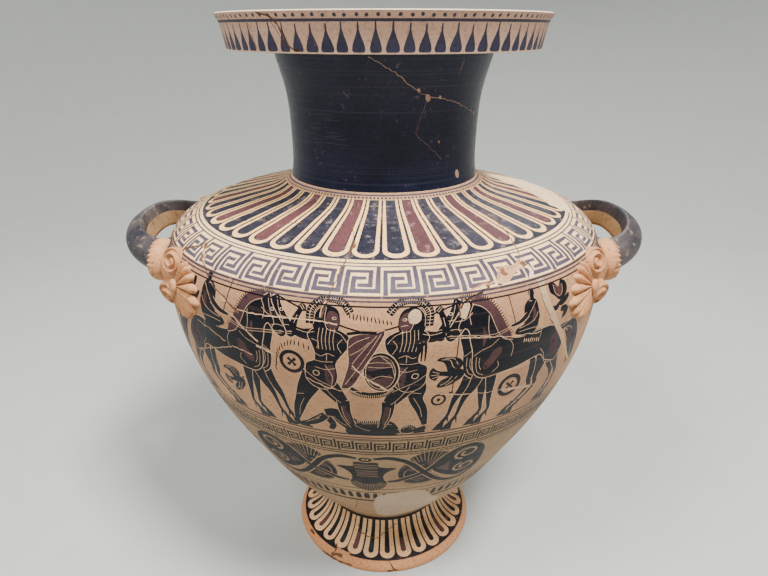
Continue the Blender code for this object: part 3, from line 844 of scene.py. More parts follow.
def rider():
    """A cloaked rider who faces right, the seat at 0, 0, with a long thin rod."""
    shapes = painted(SLIP, [
        blob((2, 19), (-2, 22), (-7, 21), (-9, 14), (-9.5, 8), (-6, 5), (2, 6), (2.6, 12)),
        blob((-9, 7), (-6, 0), (2, -0.6), (9, 3), (7, 6), (1, 7.4)),
        dab(-4.2, 25.6, 4.6, 5.8, -8),
        np.array([(-5.6, 20), (-2.6, 20), (-2.8, 24), (-5.8, 24)]),
    ])
    shapes += limb([(0, 13), (6, 9.5), (12, 8.4)], [3.4, 2.4, 1.5], 0.7)
    shapes += brushed([(12.6, 27), (11, 18), (9, 9)], 0.6, 3)
    shapes += brushed([(-5, 17), (-5.5, 12), (-4, 7)], [1.2, 2.6, 1.2], paint=RED)
    return shapes + scored(
        [(-7, 20), (-3, 15), (1, 10), (6, 6)], [(-8.4, 13), (-6, 9), (-1, 6.6), (6, 5.4)],
        [(-4, 20.6), (-1.6, 21)], [(-8, 3), (0, 3.4), (6, 3)], [(-4.6, 28.2), (-3, 26.6), (-2.6, 24)],
    )


def fighter(rear, lean=0.0):
    """An armed figure in mid stride that faces right: a crested helmet, long locks, the rear
    arm raised with a spear. The face is a plain red field with an eye. `rear` gives the rear
    leg's line, and above the hips the drawing leans back by the given slope."""
    shapes = limb(rear, [15.5, 12, 8.6, 7.2, 3.2], 0.8)
    x, y = rear[-1]
    shapes += limb([(x - 1, y - 2.6), (x + 4, y - 4.6), (x + 10, y - 6.2)], [3.8, 3.8, 1.6])
    shapes += limb([(3, 46), (8.5, 38), (13, 31)], [14, 11, 8], 0.8)
    shapes += limb([(13.4, 32), (14, 23), (16, 15), (18.4, 8)], [8, 7, 5.6, 3.2], 0.8)
    shapes += limb([(17.5, 6), (22, 4.6), (28, 3)], [3.6, 3.6, 1.5])
    shapes += brushed([(14, 28), (14.6, 20), (17, 12)], [3.0, 4.4, 1.6], paint=RED)
    shapes += brushed([(-24, 97), (-2, 89.5), (18, 83), (34, 79)], 1.0, 3)
    shapes += limb([(0, 78), (-8, 77.2), (-14, 79)], [7.6, 6.4, 5.2])
    shapes += limb([(-14.6, 78.6), (-12.6, 86), (-10, 91)], [4.8, 3.8, 3.0])
    shapes.append((SLIP, dab(-9, 92.6, 5.2, 4.6)))
    shapes += rimmed(blob(
        (-8, 53), (-7, 58), (-2, 61), (-1.4, 66), (-3, 72), (-5, 77), (-2, 81), (6, 82.6), (14, 81),
        (19, 77), (18, 71), (13, 64), (10.4, 59), (11, 51), (9, 44), (3, 40), (-4, 42), (-8, 47),
    ), width=0.8)
    shapes.append((RED, blob((5, 57), (9, 58), (10, 52), (8, 45), (5, 44), (3.6, 50))))
    crest = smooth_through([(-4, 84), (-3.4, 92.5), (2, 98), (9, 99.2), (15, 97), (19.4, 91.5)], 5)
    shapes += brushed(crest, 4.6, 1)
    shapes += painted(SLIP, [
        blob((-1, 80), (-2, 88), (1, 94), (7, 95.4), (12, 93), (13.6, 88), (12.6, 82), (9, 78.5), (3, 78)),
        blob((0, 84), (10, 83), (12, 76), (10.6, 68.4), (5, 67.6), (0, 69), (-1.4, 76)),
    ])
    shapes.append((RED, blob((7, 92), (11, 91.6), (13, 88), (12.2, 83), (9, 81.4), (6, 84), (5.6, 88))))
    shapes += [(LINE, dab(10.2, 88.2, 2.6, 1.7)), (SLIP, dab(10.4, 88.2, 1.4, 1.1))]
    shapes += painted(LINE, fringe(crest[1:-1], -2.0, 0.34) + fringe(crest[1:-1], 2.0, 0.34))
    shapes += scored(
        crest, [(-1.6, 84), (-0.6, 91), (4.6, 95.4), (10, 94.6)],
        [(5.6, 94), (4.8, 88), (6.6, 81.6), (11.4, 81)], [(8, 85), (12, 84.4)],
        [(-8, 52), (-2, 47), (6, 43), (11, 40)], [(-3, 61), (3, 60), (9, 60.6)],
        [(4, 58), (8, 50), (7, 42)], [(1, 44), (8, 34), (12, 30)], [(12, 27), (13, 19), (16, 11)],
        [(15, 76), (12, 72), (14, 67)], [(-3, 75), (1, 73), (0, 69)],
        [(-2, 66), (2, 64), (6, 66), (10, 64.6)], [(5.6, 66), (5.2, 61)], [(-2, 56), (4, 54.6), (10, 56)],
        [(17.6, 74), (14, 79), (9, 81)], [(-12, 79.6), (-6, 78.4), (-1, 79.4)], [(-13.4, 83), (-11.6, 88)],
        *[[(x + 0.6, 82), (x - 0.4, 75), (x, 68.6)] for x in (1.2, 3.4, 5.6, 7.8, 10)],
        [(-10.6, 94), (-8.4, 91.4)], [(-9.2, 94.4), (-7.4, 92)],
    )
    shapes += [(LINE, dab(-1.6, 51.5, 4.2, 4.2)), (SLIP, dab(-1.6, 51.5, 3.2, 3.2))]
    knee, calf = np.array(rear[2]), np.array(rear[3])
    shapes += scored([knee + (1.5, 1), calf + (1.2, 2), calf + (-0.6, -6)],
                     [knee + (-3, 4), knee + (2, 5)])
    for _, outline in shapes:
        outline[:, 0] -= lean * np.maximum(outline[:, 1] - HIP_HEIGHT, 0)
    return shapes


def target(radius, thick, cross):
    """A painted ring round a small cross or a dot."""
    shapes = [(SLIP, dab(0, 0, 2 * radius, 2 * radius, 0, 32)),
              (CLAY, dab(0, 0, 2 * (radius - thick), 2 * (radius - thick), 0, 28))]
    if cross:
        arm = 0.30 * radius
        for rise in (arm, -arm):
            shapes += brushed([(-arm, -rise), (0, 0), (arm, rise)], [2.4, 1.3, 2.4], 3)
    else:
        shapes.append((SLIP, dab(0, 0, 0.52 * radius, 0.52 * radius)))
    return shapes


def short_strokes(paint, way, count, high):
    """A row of plain upright touches of the brush along a way."""
    line = smooth_through(way, 12)
    share = np.linspace(0, len(line) - 1, count)
    for x, y in zip(*(np.interp(share, np.arange(len(line)), line[:, i]) for i in (0, 1))):
        yield paint, dab(x, y, 0.8, high * hand.uniform(0.7, 1.1), hand.uniform(-20, 20), 8)


def lotus_flower():
    """A hanging flower: a red heart between two slip petals over a curled stem."""
    shapes = painted(SLIP, [
        blob((0, 4), (-5, 8), (-8.5, 11), (-8.5, 16.5), (-3.6, 16), (0, 12.5), (3, 16), (8, 14),
             (8.6, 9), (5, 5)),
        blob((1, 4), (-4, 1.6), (-8, 2), (-13.6, 6.4), (-14, 3.6), (-9, -1.6), (-2, -1.6)),
        blob((1, 3.6), (5, 5), (9.6, 6.4), (10, 4), (5, 0.6), (0, 0)),
        blob((1.6, -1), (6.6, -1), (9.4, -4), (7.4, -8), (3, -9.6), (4, -5), (1, -4)),
    ])
    shapes.append((RED, blob((-0.4, 6), (-3.6, 9), (-3.4, 14.6), (0, 12), (2.4, 14), (3.6, 9))))
    return shapes + scored([(-4.6, 15), (-3.8, 9.6), (0, 6.4)], [(4, 13.6), (3.4, 9), (1, 6.4)])


def bird():
    """A small bird on the wing: two barred wings, a fan tail at the left and legs."""
    shapes = painted(SLIP, [
        blob((12, 0), (8, 3), (2, 2), (-5, 3), (-8, 5.4), (-10, 2), (-9.4, -2), (-6, -4), (-4, -1),
             (2, -2), (9, -3)),
        blob((5, 1), (10, 5), (9, 9), (5, 11.4), (-4, 12), (-6, 10.4), (-2, 8.6), (0, 5), (1, 2)),
        blob((5, -1), (11, -2.6), (6, -7), (-1, -9.6), (-5, -9), (-3.4, -5), (0, -3)),
        *stroke([(11, 2), (13.4, 2.6)], 1.2, 2), *stroke([(9, -2), (11.4, -1.6)], 1.4, 2),
    ])
    return shapes + scored(
        [(-3, 10.6), (2, 9.6), (4, 5), (6, 3)], [(-1, 11.4), (4.4, 10.4), (7, 6)],
        [(-3, -8), (1, -6), (4, -2)], [(0, -8.6), (4, -6), (7, -2.4)], [(-8, 2.6), (-4, 1)],
        [(-9, 0), (-4, 0)], [(-8, -2.4), (-4, -0.8)], width=0.34,
    )


def fallen():
    """The body on the ground between the fighters, head to the right, one knee raised."""
    shapes = limb([(-36, 16), (-33, 9), (-35, 4)], [5, 4.6, 3.4])
    shapes += limb([(-59, 4), (-50, 7.4), (-43, 12), (-37, 17.6)], [2.4, 5, 6.6, 5.6], 0.8)
    shapes += limb([(-37, 20), (-31, 20.6), (-25, 15), (-18, 8)], [6, 8.4, 12, 12], 0.8)
    shapes.append((SLIP, blob((-25, 2), (-22, 12), (-16, 14.5), (-6, 15.5), (2, 16), (6, 13.6),
                              (9, 8.4), (10, 2), (0, 0.9), (-12, 0.9))))
    shapes += limb([(8, 4.4), (18, 3.2), (27, 3.4)], [4, 3, 3], 0.7)
    shapes += rimmed(blob((11, 3.4), (11.4, 8.4), (15, 11), (19.6, 9.6), (20.6, 5), (17, 2.4)))
    shapes.append((RED, blob((16, 3.6), (15.6, 7), (18.6, 8.6), (20, 6), (19, 3.4))))
    back = smooth_through([(-18, 14.4), (-8, 15.4), (2, 15.8)], 8)
    hair = smooth_through([(11.4, 8), (14, 10.6), (19, 10)], 4)
    shapes += painted(LINE, fringe(back, -2.6, 0.5) + fringe(hair, -2.2, 0.4))
    return shapes + scored(
        [(-20, 11), (-12, 6), (-2, 4)], [(-52, 7.6), (-46, 11.4), (-40, 17)], [(-44, 12), (-41.4, 14)],
        [(-32, 17), (-28, 12), (-24, 9)], [(-14, 12), (-4, 12.6), (5, 12)], [(18, 6.4), (20, 6.6)],
    )


belly_finishes = {
    # Body clay set darker here than on the shoulder, in part painted shade from the light above.
    CLAY: fired("frieze clay with painted shade", (186, 139, 100), (156, 115, 85), (204, 164, 128), 0.64, 0.6, wheel=0.00006),
    SLIP: fired("figure slip", (8, 9, 16), (17, 17, 25), (88, 66, 52), 0.70, 0.42, wheel=0.00006,
                sheen=0.14),
    THIN: fired("frieze line slip", (66, 54, 62), (50, 44, 52), (140, 108, 88), 0.6, 0.5),
    RED: fired("figure added red", (74, 44, 43), (58, 38, 41), (34, 28, 32), 0.56, 0.62),
    LINE: fired("scored line", (190, 158, 128), clay_tan, clay_tan, 0.7, 0.8),
    PLASTER: fired("frieze plaster", (192, 160, 126), (180, 146, 112), (166, 130, 100), 0.7, 0.8,
                   grain=0.00004),
    BREAK: fired("frieze break", (78, 54, 42), (112, 80, 58), clay_tan, 0.6, 0.85),
    INSIDE: lower_finishes[INSIDE],
}
belly_wall = Wall(
    cut(body_outline, LOWER_TOP_HEIGHT, FRIEZE_TOP_HEIGHT), BELLY_REFERENCE, -FRIEZE_MARGIN / MM,
)
belly_wall.ring(SLIP, -5.4, -4.5)
belly_wall.ring(SLIP, -3.3, -2.3)
for place, flip, seat, size in ((TEAM_LEFT, 1, -113, 1.25), (TEAM_RIGHT, -1, 88, 1.0)):
    put(horse(6.0, 0.8), place, flip=flip)
    put(horse(0.0, 0.0), place, flip=flip)
    put(rider(), seat, SEAT_HEIGHT, flip, size)
put(fallen())
put(fighter([(0, 49), (-3, 42), (-3, 34), (-7, 24), (-10, 10)], 0.15), 16, flip=-1)
for x in (18.6, 20.8, 23):
    put(brushed([(x, 76), (x + 0.4, 70), (x, 61.6)], [1.5, 1.5, 0.8], 3))
shield_fringe = smooth_through([(-20, 41.6), (-15, 38.6), (-8, 37.4), (0, 39), (4.6, 43)], 7)
put(brushed(shield_fringe, 4.4, 1) + painted(LINE, fringe(shield_fringe, -2, 0.5)))
put([
    (LINE, dab(-1.6, 54.6, 21.4, 28.4, 0, 36)), (SLIP, dab(-1.6, 54.6, 20, 27, 0, 36)),
    (LINE, dab(-2, 54.4, 17.4, 24, 0, 32)), (SLIP, dab(-2, 54.4, 16.6, 23.2, 0, 32)),
    (RED, blob((-9, 56), (-8, 62), (-3, 65), (3, 64), (5, 59), (-2, 57))),
    (RED, blob((-9.6, 53), (-4, 50), (4, 53), (4, 47), (0, 43.6), (-7, 46))),
    *scored([(-9, 61), (-3, 61.6), (4, 61)], [(-9, 58.4), (-2, 58), (5, 58.6)],
            [(-2, 66), (4, 60), (6, 52)], [(-8, 49), (-2, 52), (5, 51)]),
])
put(fighter([(-3, 49), (-9, 38), (-13, 29), (-16.5, 20), (-20, 9)]), -38)
put(rimmed(blob(
    (0.4, 82), (-6, 80), (-13, 79.6), (-19, 77), (-20, 70), (-20, 60), (-22.6, 50), (-24.6, 42),
    (-20, 43), (-15, 50), (-10.4, 60), (-4, 71), steps=3,
), RED))
put(brushed([(-20.6, 79.6), (-12, 80.8), (-4, 80.6)], 1.8, 3))
put(scored([(-1.6, 80), (-12, 62), (-22.6, 45)], [(-4, 79), (-14, 66), (-18, 60)],
           [(-19.6, 71), (-15, 75), (-8, 78)], [(-19, 66), (-13, 70), (-8, 75)],
           [(-18.6, 57), (-14, 55), (-11.6, 57)]))
put(target(8.1, 2.4, True), -54.4, 57)
put(target(9.0, 2.9, True), 82, 31.4)
put(target(4.8, 1.5, False), 33, 31.6)
put(bird(), 36, 51)
put(bird(), -104, 28, size=0.92, turn=20)
put(lotus_flower(), 116.4, 79)
put(lotus_flower(), -137, 80, size=0.8, turn=8, flip=-1)
put(painted(SLIP, [*stroke([(42.4, 76), (41.6, 60), (41, 37)], 0.7, 3), dab(40.4, 36.4, 3, 1.4)]))
for paint, count, high, way in (
    (SLIP, 15, 4.6, [(-65.4, 50), (-64.4, 57), (-62, 64), (-57, 69), (-51, 70.6), (-43, 68.4)]),
    (SLIP, 12, 4.2, [(-19, 89.8), (-8, 88.4), (4, 86.4)]),
    (LINE, 8, 3.6, [(87, 64), (93, 62.6), (99.5, 61)]),
):
    put(short_strokes(paint, way, count, high))
back = belly_wall.half
put(horse(0.0, 0.0), back - 78)
put(horse(0.0, 0.0), back + 78, flip=-1)
put(lotus_flower(), back - 2, 62, size=1.7)
put(brushed([(0, 0.5), (1.5, 25), (0, 60)], [4, 2.4, 3]), back)
put(target(6.0, 2.2, False), back - 13, 20)
put(target(6.0, 2.2, False), back + 13, 20)
for side in (-1, 1):
    put(target(12.0, 3.2, False), side * back / 2, 30)
    for away in (30, -30):
        put(target(7.0, 2.2, False), side * (back / 2 + away), 18)
belly_wall.ring(SLIP, -0.1, 1.2)
belly_wall.paint(
    PLASTER,
    blob((14, 86.6), (13.6, 91), (17, 94), (20.4, 92.6), (20.6, 88), (17.4, 85.6)),
    blob((43, 88), (44.4, 95), (47, 97), (49.6, 94), (48, 89), (46, 86)),
    [(97.5, 101), (98.5, 96), (101, 85), (108, 72), (113, 66), (118, 60), (124, 52), (131, 43),
     (140, 32), (148, 24), (149.4, 25.6), (143.4, 31.4), (137, 39), (130, 49), (125.6, 57),
     (118, 66), (112, 76), (107.4, 84), (104.6, 93), (106, 101)],
)
for crack in (
    (BREAK, [(98.5, 101), (98.8, 96), (101.4, 85), (108.4, 72), (117, 61)], 0.6, 0.0004, 0.3),
    (LINE, [(44, 75), (59, 73), (80, 69), (101, 66)], 0.6, 0.0002),
    (LINE, [(25, 38), (50, 33), (66, 30.4), (76, 29.6)], 0.6, 0.0002, 0.3),
    (PLASTER, [(76, 29.6), (88, 27), (104, 22.6)], 1.9, 0.0002, 0.3),
    (LINE, [(104, 22.6), (124, 22), (149, 21)], 0.5, 0.0002, 0.3),
    (LINE, [(-140, 38.5), (-125, 45), (-110, 51), (-96, 57), (-82, 55)], 0.6, 0.0002),
    (LINE, [(-132, 64), (-116, 62), (-104, 58)], 0.6, 0.0002),
    (LINE, [(-46, 47), (-36, 42.4), (-26, 40), (-13, 40)], 0.6, 0.0002, 0.3),
    (PLASTER, [(-9.6, 49.6), (-4, 46), (3, 41)], 1.5, 0.0002, 0.3),
    (LINE, [(-18, 59), (-13, 53), (-9, 49)], 0.8, 0.0002, 0.3),
    (LINE, [(-91, 83.6), (-76, 84), (-60, 85), (-40, 86.4), (-26, 85)], 0.8, 0.0002, 0.3),
    (PLASTER, [(-96, 80), (-88, 74), (-80, 68.4), (-76, 66)], 1.2, 0.0003, 0.3),
    (PLASTER, [(-78, 63), (-72, 62), (-66.4, 60)], 1.8, 0.0003, 0.3),
    (BREAK, [(-104, 89), (-99, 86), (-93, 83), (-89.6, 82.4)], 1.6, 0.0009, 0.3),
    (BREAK, [(-129, 102.2), (-121, 96.5), (-112, 92), (-104, 89)], 1.0, 0.0007, 0.3),
    (BREAK, [(44, 92), (46, 95), (51, 97.6), (58, 99.6), (66, 103)], 1.5, 0.0011, 0.3),
    (BREAK, [(42, 96), (43.6, 92), (43, 88)], 1.2, 0.0008, 0.3),
    (BREAK, [(-31, 104), (-32.4, 97), (-34.4, 91), (-35, 88)], 1.1, 0.0006, 0.4),
    (PLASTER, [(-33, 98), (-35.6, 93), (-36, 88)], 1.0, 0.0003, 0.4),
):
    belly_wall.crack(*crack)
belly_wall.ring(SLIP, 94.9, 95.9)
belly_wall.ring(THIN, 97.8, 98.8)
belly_wall.ring(THIN, 100.0, 101.4)
belly = walled("belly", belly_wall, CLAY, LOWER_TOP_HEIGHT, FRIEZE_TOP_HEIGHT, belly_finishes)
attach(belly, "root")
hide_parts("amphora")

# Shoulder
# The flat top of the thrown body: a large key pattern, then long tongues in slip and red
# on cream up to a dotted fillet. Sherds are missing at its right, where the clay is mended.
SHOULDER_REFERENCE = 120.0
LARGE_KEYS = 44
TONGUES = 45
FIRST_TONGUE_DEGREES = 3.2
TONGUE_ROOT = 92.2
SHOULDER_DOTS = 4 * TONGUES
shoulder_finishes = {
    # Shoulder clay, cream and plaster are set brighter than the body clay below: painted light from above.
    CLAY: fired("shoulder clay with painted light", (255, 218, 158), (250, 200, 138), (212, 166, 122), 0.70, 0.55,
                wheel=0.00006),
    # The shoulder slips are greyed partly by wear and partly by painted sheen from the light above.
    SLIP: fired("tongue slip with painted sheen", (30, 32, 44), (58, 55, 64), (104, 92, 90), 0.56, 0.45, wheel=0.00006),
    THIN: fired("thin slip with painted sheen", (88, 78, 90), (64, 57, 68), (160, 132, 116), 0.64, 0.5),
    RED: fired("tongue red", (102, 62, 62), (80, 52, 56), (128, 94, 90), 0.58, 0.6),
    LINE: fired("shoulder mend", (206, 160, 122), (188, 142, 106), (168, 124, 92), 0.6, 0.8),
    CREAM: fired("tongue cream with painted light", (255, 206, 138), (246, 190, 122), (206, 158, 116), 0.70, 0.55),
    PLASTER: fired("shoulder plaster with painted light", (242, 206, 166), (234, 196, 154), (206, 178, 150), 0.72, 0.75,
                   grain=0.00004),
    # The break tone is partly painted shadow in the open gaps, over the sunk grooves.
    BREAK: fired("shoulder break with painted shadow", (106, 72, 52), (140, 100, 74), clay_tan, 0.6, 0.85),
    INSIDE: lower_finishes[INSIDE],
}
shoulder_wall = Wall(cut(body_outline, FRIEZE_TOP_HEIGHT, NECK_BASE_HEIGHT), SHOULDER_REFERENCE)
key_ring(shoulder_wall, THIN, 0.0, 19.8, LARGE_KEYS, upright=2.1, level=2.5)
shoulder_wall.ring(THIN, 19.9, 21.0)
shoulder_wall.ring(THIN, 22.5, 23.6)
shoulder_wall.ring(SLIP, 26.0, 92.4)
pitch = 2 * shoulder_wall.half / TONGUES
for i in range(TONGUES):
    x = (FIRST_TONGUE_DEGREES / 180) * shoulder_wall.half + i * pitch + hand.uniform(-0.2, 0.2)
    tip = 28.1 + hand.uniform(-0.5, 0.5)
    shoulder_wall.paint(CREAM, tongue(x, TONGUE_ROOT, tip, pitch - 1.7, 7.2))
    tip = 31.4 + hand.uniform(-0.4, 0.4)
    shoulder_wall.paint(SLIP, tongue(x, TONGUE_ROOT, tip, pitch * 0.60, 4.6))
    if i % 3 == 1:
        shoulder_wall.paint(RED, tongue(x, TONGUE_ROOT, tip + 0.9, pitch * 0.52, 4.1))
shoulder_wall.ring(LINE, 92.6, shoulder_wall.top)
for i in range(SHOULDER_DOTS):
    x = (i + 0.5) * 2 * shoulder_wall.half / SHOULDER_DOTS - shoulder_wall.half
    shoulder_wall.paint(SLIP, dab(x, 94.0, 2.5, 1.9, 0, 8))
shoulder_wall.ring(THIN, 95.6, 96.9)
shoulder_wall.paint(PLASTER, [
    (157, 21.6), (158, 38), (172, 46), (190, 58), (205, 70), (236, 78), (244, 60), (240, 21.6),
])
shoulder_wall.paint(LINE, blob(
    (51, 2), (53, 8), (56, 12.6), (62, 11), (66, 12.4), (69, 15.4), (71.4, 10), (64, 6.6), (60, 4), (56, 1),
))
for crack in (
    (LINE, [(53, 4), (57, 9), (63, 8.6), (69, 12)], 4.0, 0.0010),
    (BREAK, [(57.2, 6), (56.6, 11)], 2.4, 0.0016),
    (BREAK, [(70, 8.6), (70.4, 13.4)], 2.8, 0.0016),
    (BREAK, [(46, 0.2), (47, 2.6)], 2.4, 0.0012),
    (LINE, [(38, 0.4), (43, 2.6), (50, 3.4)], 1.6, 0.0008),
    (BREAK, [(-121, 0.4), (-117, 4), (-107, 11)], 1.5, 0.0011),
    (LINE, [(-103, 11), (-100.4, 6.5), (-94, 0.3)], 2.2, 0.0012),
    (BREAK, [(-104, 11), (-101.6, 6.5), (-95.4, 0.3)], 0.7, 0.0012),
    (BREAK, [(-107.4, 12), (-102.6, 12.4)], 3.2, 0.0014),
    (BREAK, [(-23, 0), (-21, 10), (-20, 20), (-19, 30), (-18, 40)], 0.8, 0.0006),
    (BREAK, [(-17.6, 38), (-17.4, 42.6)], 2.6, 0.0009),
    (BREAK, [(-18, 42), (-20, 52), (-25, 70), (-28, 82), (-29, 92)], 0.6, 0.0003),
    (BREAK, [(-75, 55), (-62, 60)], 1.0, 0.0005),
    (BREAK, [(-130, 38), (-110, 42), (-92, 52), (-75, 55)], 0.5, 0.0003),
    (BREAK, [(98, 92), (92, 70), (84, 46), (75, 26), (72, 15)], 0.8, 0.0005),
    (PLASTER, [(71, 9), (72, 4), (69, 0)], 2.6, 0.0002),
):
    shoulder_wall.crack(*crack, shake=0.4)
shoulder = walled("shoulder", shoulder_wall, CLAY, FRIEZE_TOP_HEIGHT, NECK_BASE_HEIGHT, shoulder_finishes)
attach(shoulder, "root")
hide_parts("amphora")

# Neck
# A tall hollow-sided neck, thrown apart and luted to the shoulder, all in black slip with
# level wheel lines, its blue tint a painted reflection. It is mended: pale joins cross its right half.
NECK_REFERENCE = 72.0
NECK_TOP_HEIGHT = 0.4263
FAINT_STREAKS = 26
neck_finishes = {
    # Both neck slip tones are tinted blue: a painted reflection of blue light on the gloss.
    SLIP: fired("neck slip with painted blue reflection", (5, 8, 32), (27, 29, 54), (72, 68, 84), 0.61, 0.30, wheel=0.00012, sheen=0.24),
    THIN: fired("neck faint streaks", (50, 52, 66), (42, 44, 58), (88, 84, 88), 0.6, 0.42),
    PLASTER: fired("neck join", (182, 154, 136), (142, 116, 102), (90, 74, 68), 0.60, 0.8),
    BREAK: fired("neck break", (192, 160, 138), (160, 126, 104), clay_tan, 0.6, 0.85),
    INSIDE: lower_finishes[INSIDE],
}
neck_outline = smooth_through([
    (NECK_RADIUS + 0.0014, NECK_BASE_HEIGHT),
    (NECK_RADIUS + 0.0002, NECK_BASE_HEIGHT + 0.008),
    (NECK_RADIUS, NECK_WAIST_HEIGHT),
    (NECK_RADIUS + 0.0021, NECK_FLARE_HEIGHT),
    (NECK_RADIUS + 0.0095, NECK_TOP_HEIGHT),
], 8)
neck_wall = Wall(neck_outline, NECK_REFERENCE)
# Short faint grey strokes over a patch at the left of the neck's front.
for i in range(FAINT_STREAKS):
    x, y = hand.uniform(-84, -36), hand.uniform(30, 52)
    way = [(x, y), (x + 6, y + hand.uniform(-1, 1)), (x + 13, y)]
    neck_wall.paint(THIN, *stroke(way, [0.2, 0.9, 0.2]))
for way, width, depth in (
    ([(-9, 87), (6, 78), (18, 68), (28, 62), (37, 61), (55, 56), (81, 47)], 0.6, 0.0003),
    ([(29, 60), (21, 38), (30, 31), (43, 20)], 0.4, 0.0003),
    ([(52, 85), (51, 80), (50, 75)], 0.3, 0.0002),
):
    neck_wall.crack(PLASTER, way, width, depth)
for x, y, wide in (
    (59.5, 8, 4.4), (40, 32, 1.4), (29, 61, 3.6), (22, 66, 2.0), (38, 61, 1.8), (80, 47, 2.4),
):
    neck_wall.paint(BREAK, dab(x, y, wide, wide * 1.5, 20, 7))
neck = walled("neck", neck_wall, SLIP, NECK_BASE_HEIGHT, NECK_TOP_HEIGHT, neck_finishes)
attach(neck, "root")
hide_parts("amphora")

# Lip
# The overhanging mouth, thrown with the neck, its steep face hung with painted drops under a
# line and a row of dots. Cream clay, with an open crack at the left of the front.
LIP_RADIUS = 0.1176
LIP_REFERENCE = 114.0
LIP_FOOT = (LIP_RADIUS - 0.0066, 0.4277)
LIP_EDGE = (LIP_RADIUS, 0.4494)
RIM_OUTSIDE = (LIP_RADIUS - 0.0012, RIM_HEIGHT)
DROPS = 76
LIP_DOTS = 120
lip_finishes = {
    CLAY: fired("lip clay", (198, 158, 134), (186, 146, 124), (216, 184, 156), 0.68, 0.55, wheel=0.00006),
    SLIP: fired("lip slip", (40, 38, 58), (56, 51, 70), (140, 112, 98), 0.66, 0.45),
    CREAM: fired("rim cream", (226, 204, 180), (216, 192, 166), (196, 170, 146), 0.7, 0.6),
    BREAK: fired("lip break", (84, 58, 48), (128, 96, 76), clay_tan, 0.6, 0.85),
    INSIDE: lower_finishes[INSIDE],
}
lip_wall = Wall([LIP_FOOT, (LIP_RADIUS - 0.0031, 0.4444), LIP_EDGE], LIP_REFERENCE)
pitch = 2 * lip_wall.half / DROPS
drop = blob((0, 0.2), (-3.0, 0.3), (-3.8, 1.8), (-3.1, 5.2), (-1.7, 9.0), (-0.6, 12.6), (-0.35, 16.8),
            (0.35, 16.8), (0.6, 12.6), (1.7, 9.0), (3.1, 5.2), (3.8, 1.8), (3.0, 0.3), steps=2)
for i in range(DROPS):
    x = (i + 0.5) * pitch - lip_wall.half
    wide, tall = hand.uniform(0.88, 1.12), hand.uniform(0.9, 1.02)
    lip_wall.paint(SLIP, drop * (wide, tall) + (x + hand.uniform(-0.4, 0.4), 0))
lip_wall.ring(SLIP, 16.4, 18.2)
for i in range(LIP_DOTS):
    x = (i + 0.5) * 2 * lip_wall.half / LIP_DOTS - lip_wall.half + hand.uniform(-0.5, 0.5)
    lip_wall.paint(SLIP, dab(x, 20.3 + hand.uniform(-0.3, 0.3), 2.2, 2.5, hand.uniform(-40, 40), 8))
for crack in (
    ([(-68, 20), (-62, 12), (-60, 5), (-57, 2), (-50, 0.4)], 1.3, 0.0010, 0.3),
    ([(-70, 18), (-64.6, 11.6), (-62.4, 5.6), (-60, 1)], 0.6, 0.0004, 0.3),
    ([(-89.5, 20), (-87, 10), (-85.5, 0)], 0.6, 0.0004),
    ([(-77, 22), (-72, 20.6), (-68, 20)], 1.6, 0.0007),
):
    lip_wall.crack(BREAK, *crack)
inner_part = cut(inner_outline, NECK_TOP_HEIGHT, RIM_HEIGHT)
lip = joined("lip", [
    lip_wall.strip([neck_outline[-1], (LIP_RADIUS - 0.0080, 0.4270), LIP_FOOT], CREAM),
    lip_wall.skin(CLAY),
    lip_wall.strip([LIP_EDGE, RIM_OUTSIDE], CREAM),
    lip_wall.strip([RIM_OUTSIDE, inner_part[-1]], CREAM),
    lip_wall.strip(inner_part[::-1], INSIDE),
    lip_wall.strip([inner_part[0], neck_outline[-1]], INSIDE),
], lip_finishes)
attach(lip, "root")
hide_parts("amphora")

# Handles
# Two level strap handles, half round outside and flat inside, pulled by hand and stuck on
# at both ends. Worn black slip covers the round side and the upper half of the flat one.
HANDLE_REACH = 0.19245
HANDLE_START = 0.150
HANDLE_HALF_SPREAD = 0.060
HANDLE_ROOT_HEIGHT = 0.2862
HANDLE_RISE = 0.0098
HANDLE_HALF_HEIGHT = 0.0106
HANDLE_THICKNESS = 0.0155
HANDLE_SQUARENESS = 2.4
HANDLE_LEAN = 0.35
HANDLE_FLARE = 0.55
HANDLE_CROWN = 0.0004
HANDLE_STEPS = 121
ROUND_POINTS = 29
FLAT_POINTS = 8
SLIPPED_FLAT_POINTS = 3
ROOT_DEPTH = 0.003
handle_finishes = {
    SLIP: fired("handle slip", (40, 39, 46), (88, 78, 74), (126, 106, 94), 0.57, 0.42, grain=0.00016,
                sheen=0.35),
    CREAM: fired("handle clay", (174, 140, 98), (146, 114, 78), (104, 80, 60), 0.58, 0.7, grain=0.00016),
}


def handle_line(t):
    """A superellipse in plan, raised a little in the middle; t runs from -1 to 1."""
    turn = np.asarray(t) * math.pi / 2
    power = 2 / HANDLE_SQUARENESS
    x = HANDLE_START + (HANDLE_REACH - HANDLE_START) * np.abs(np.cos(turn)) ** power
    y = HANDLE_HALF_SPREAD * np.sign(turn) * np.abs(np.sin(turn)) ** power
    return np.stack([x, y, HANDLE_ROOT_HEIGHT + HANDLE_RISE * np.cos(turn) ** 2], axis=-1)


def kept_in_wall(points, depth):
    """Points pushed out to just under the belly's outer face, so that a root stops inside
    the wall and never shows in the hollow."""
    reach = np.linalg.norm(points[..., :2], axis=-1)
    wall = np.interp(points[..., 2], body_outline[:, 1], body_outline[:, 0]) - depth
    grown = np.maximum(reach, wall) / reach
    return points * np.stack([grown, grown, np.ones_like(grown)], axis=-1)


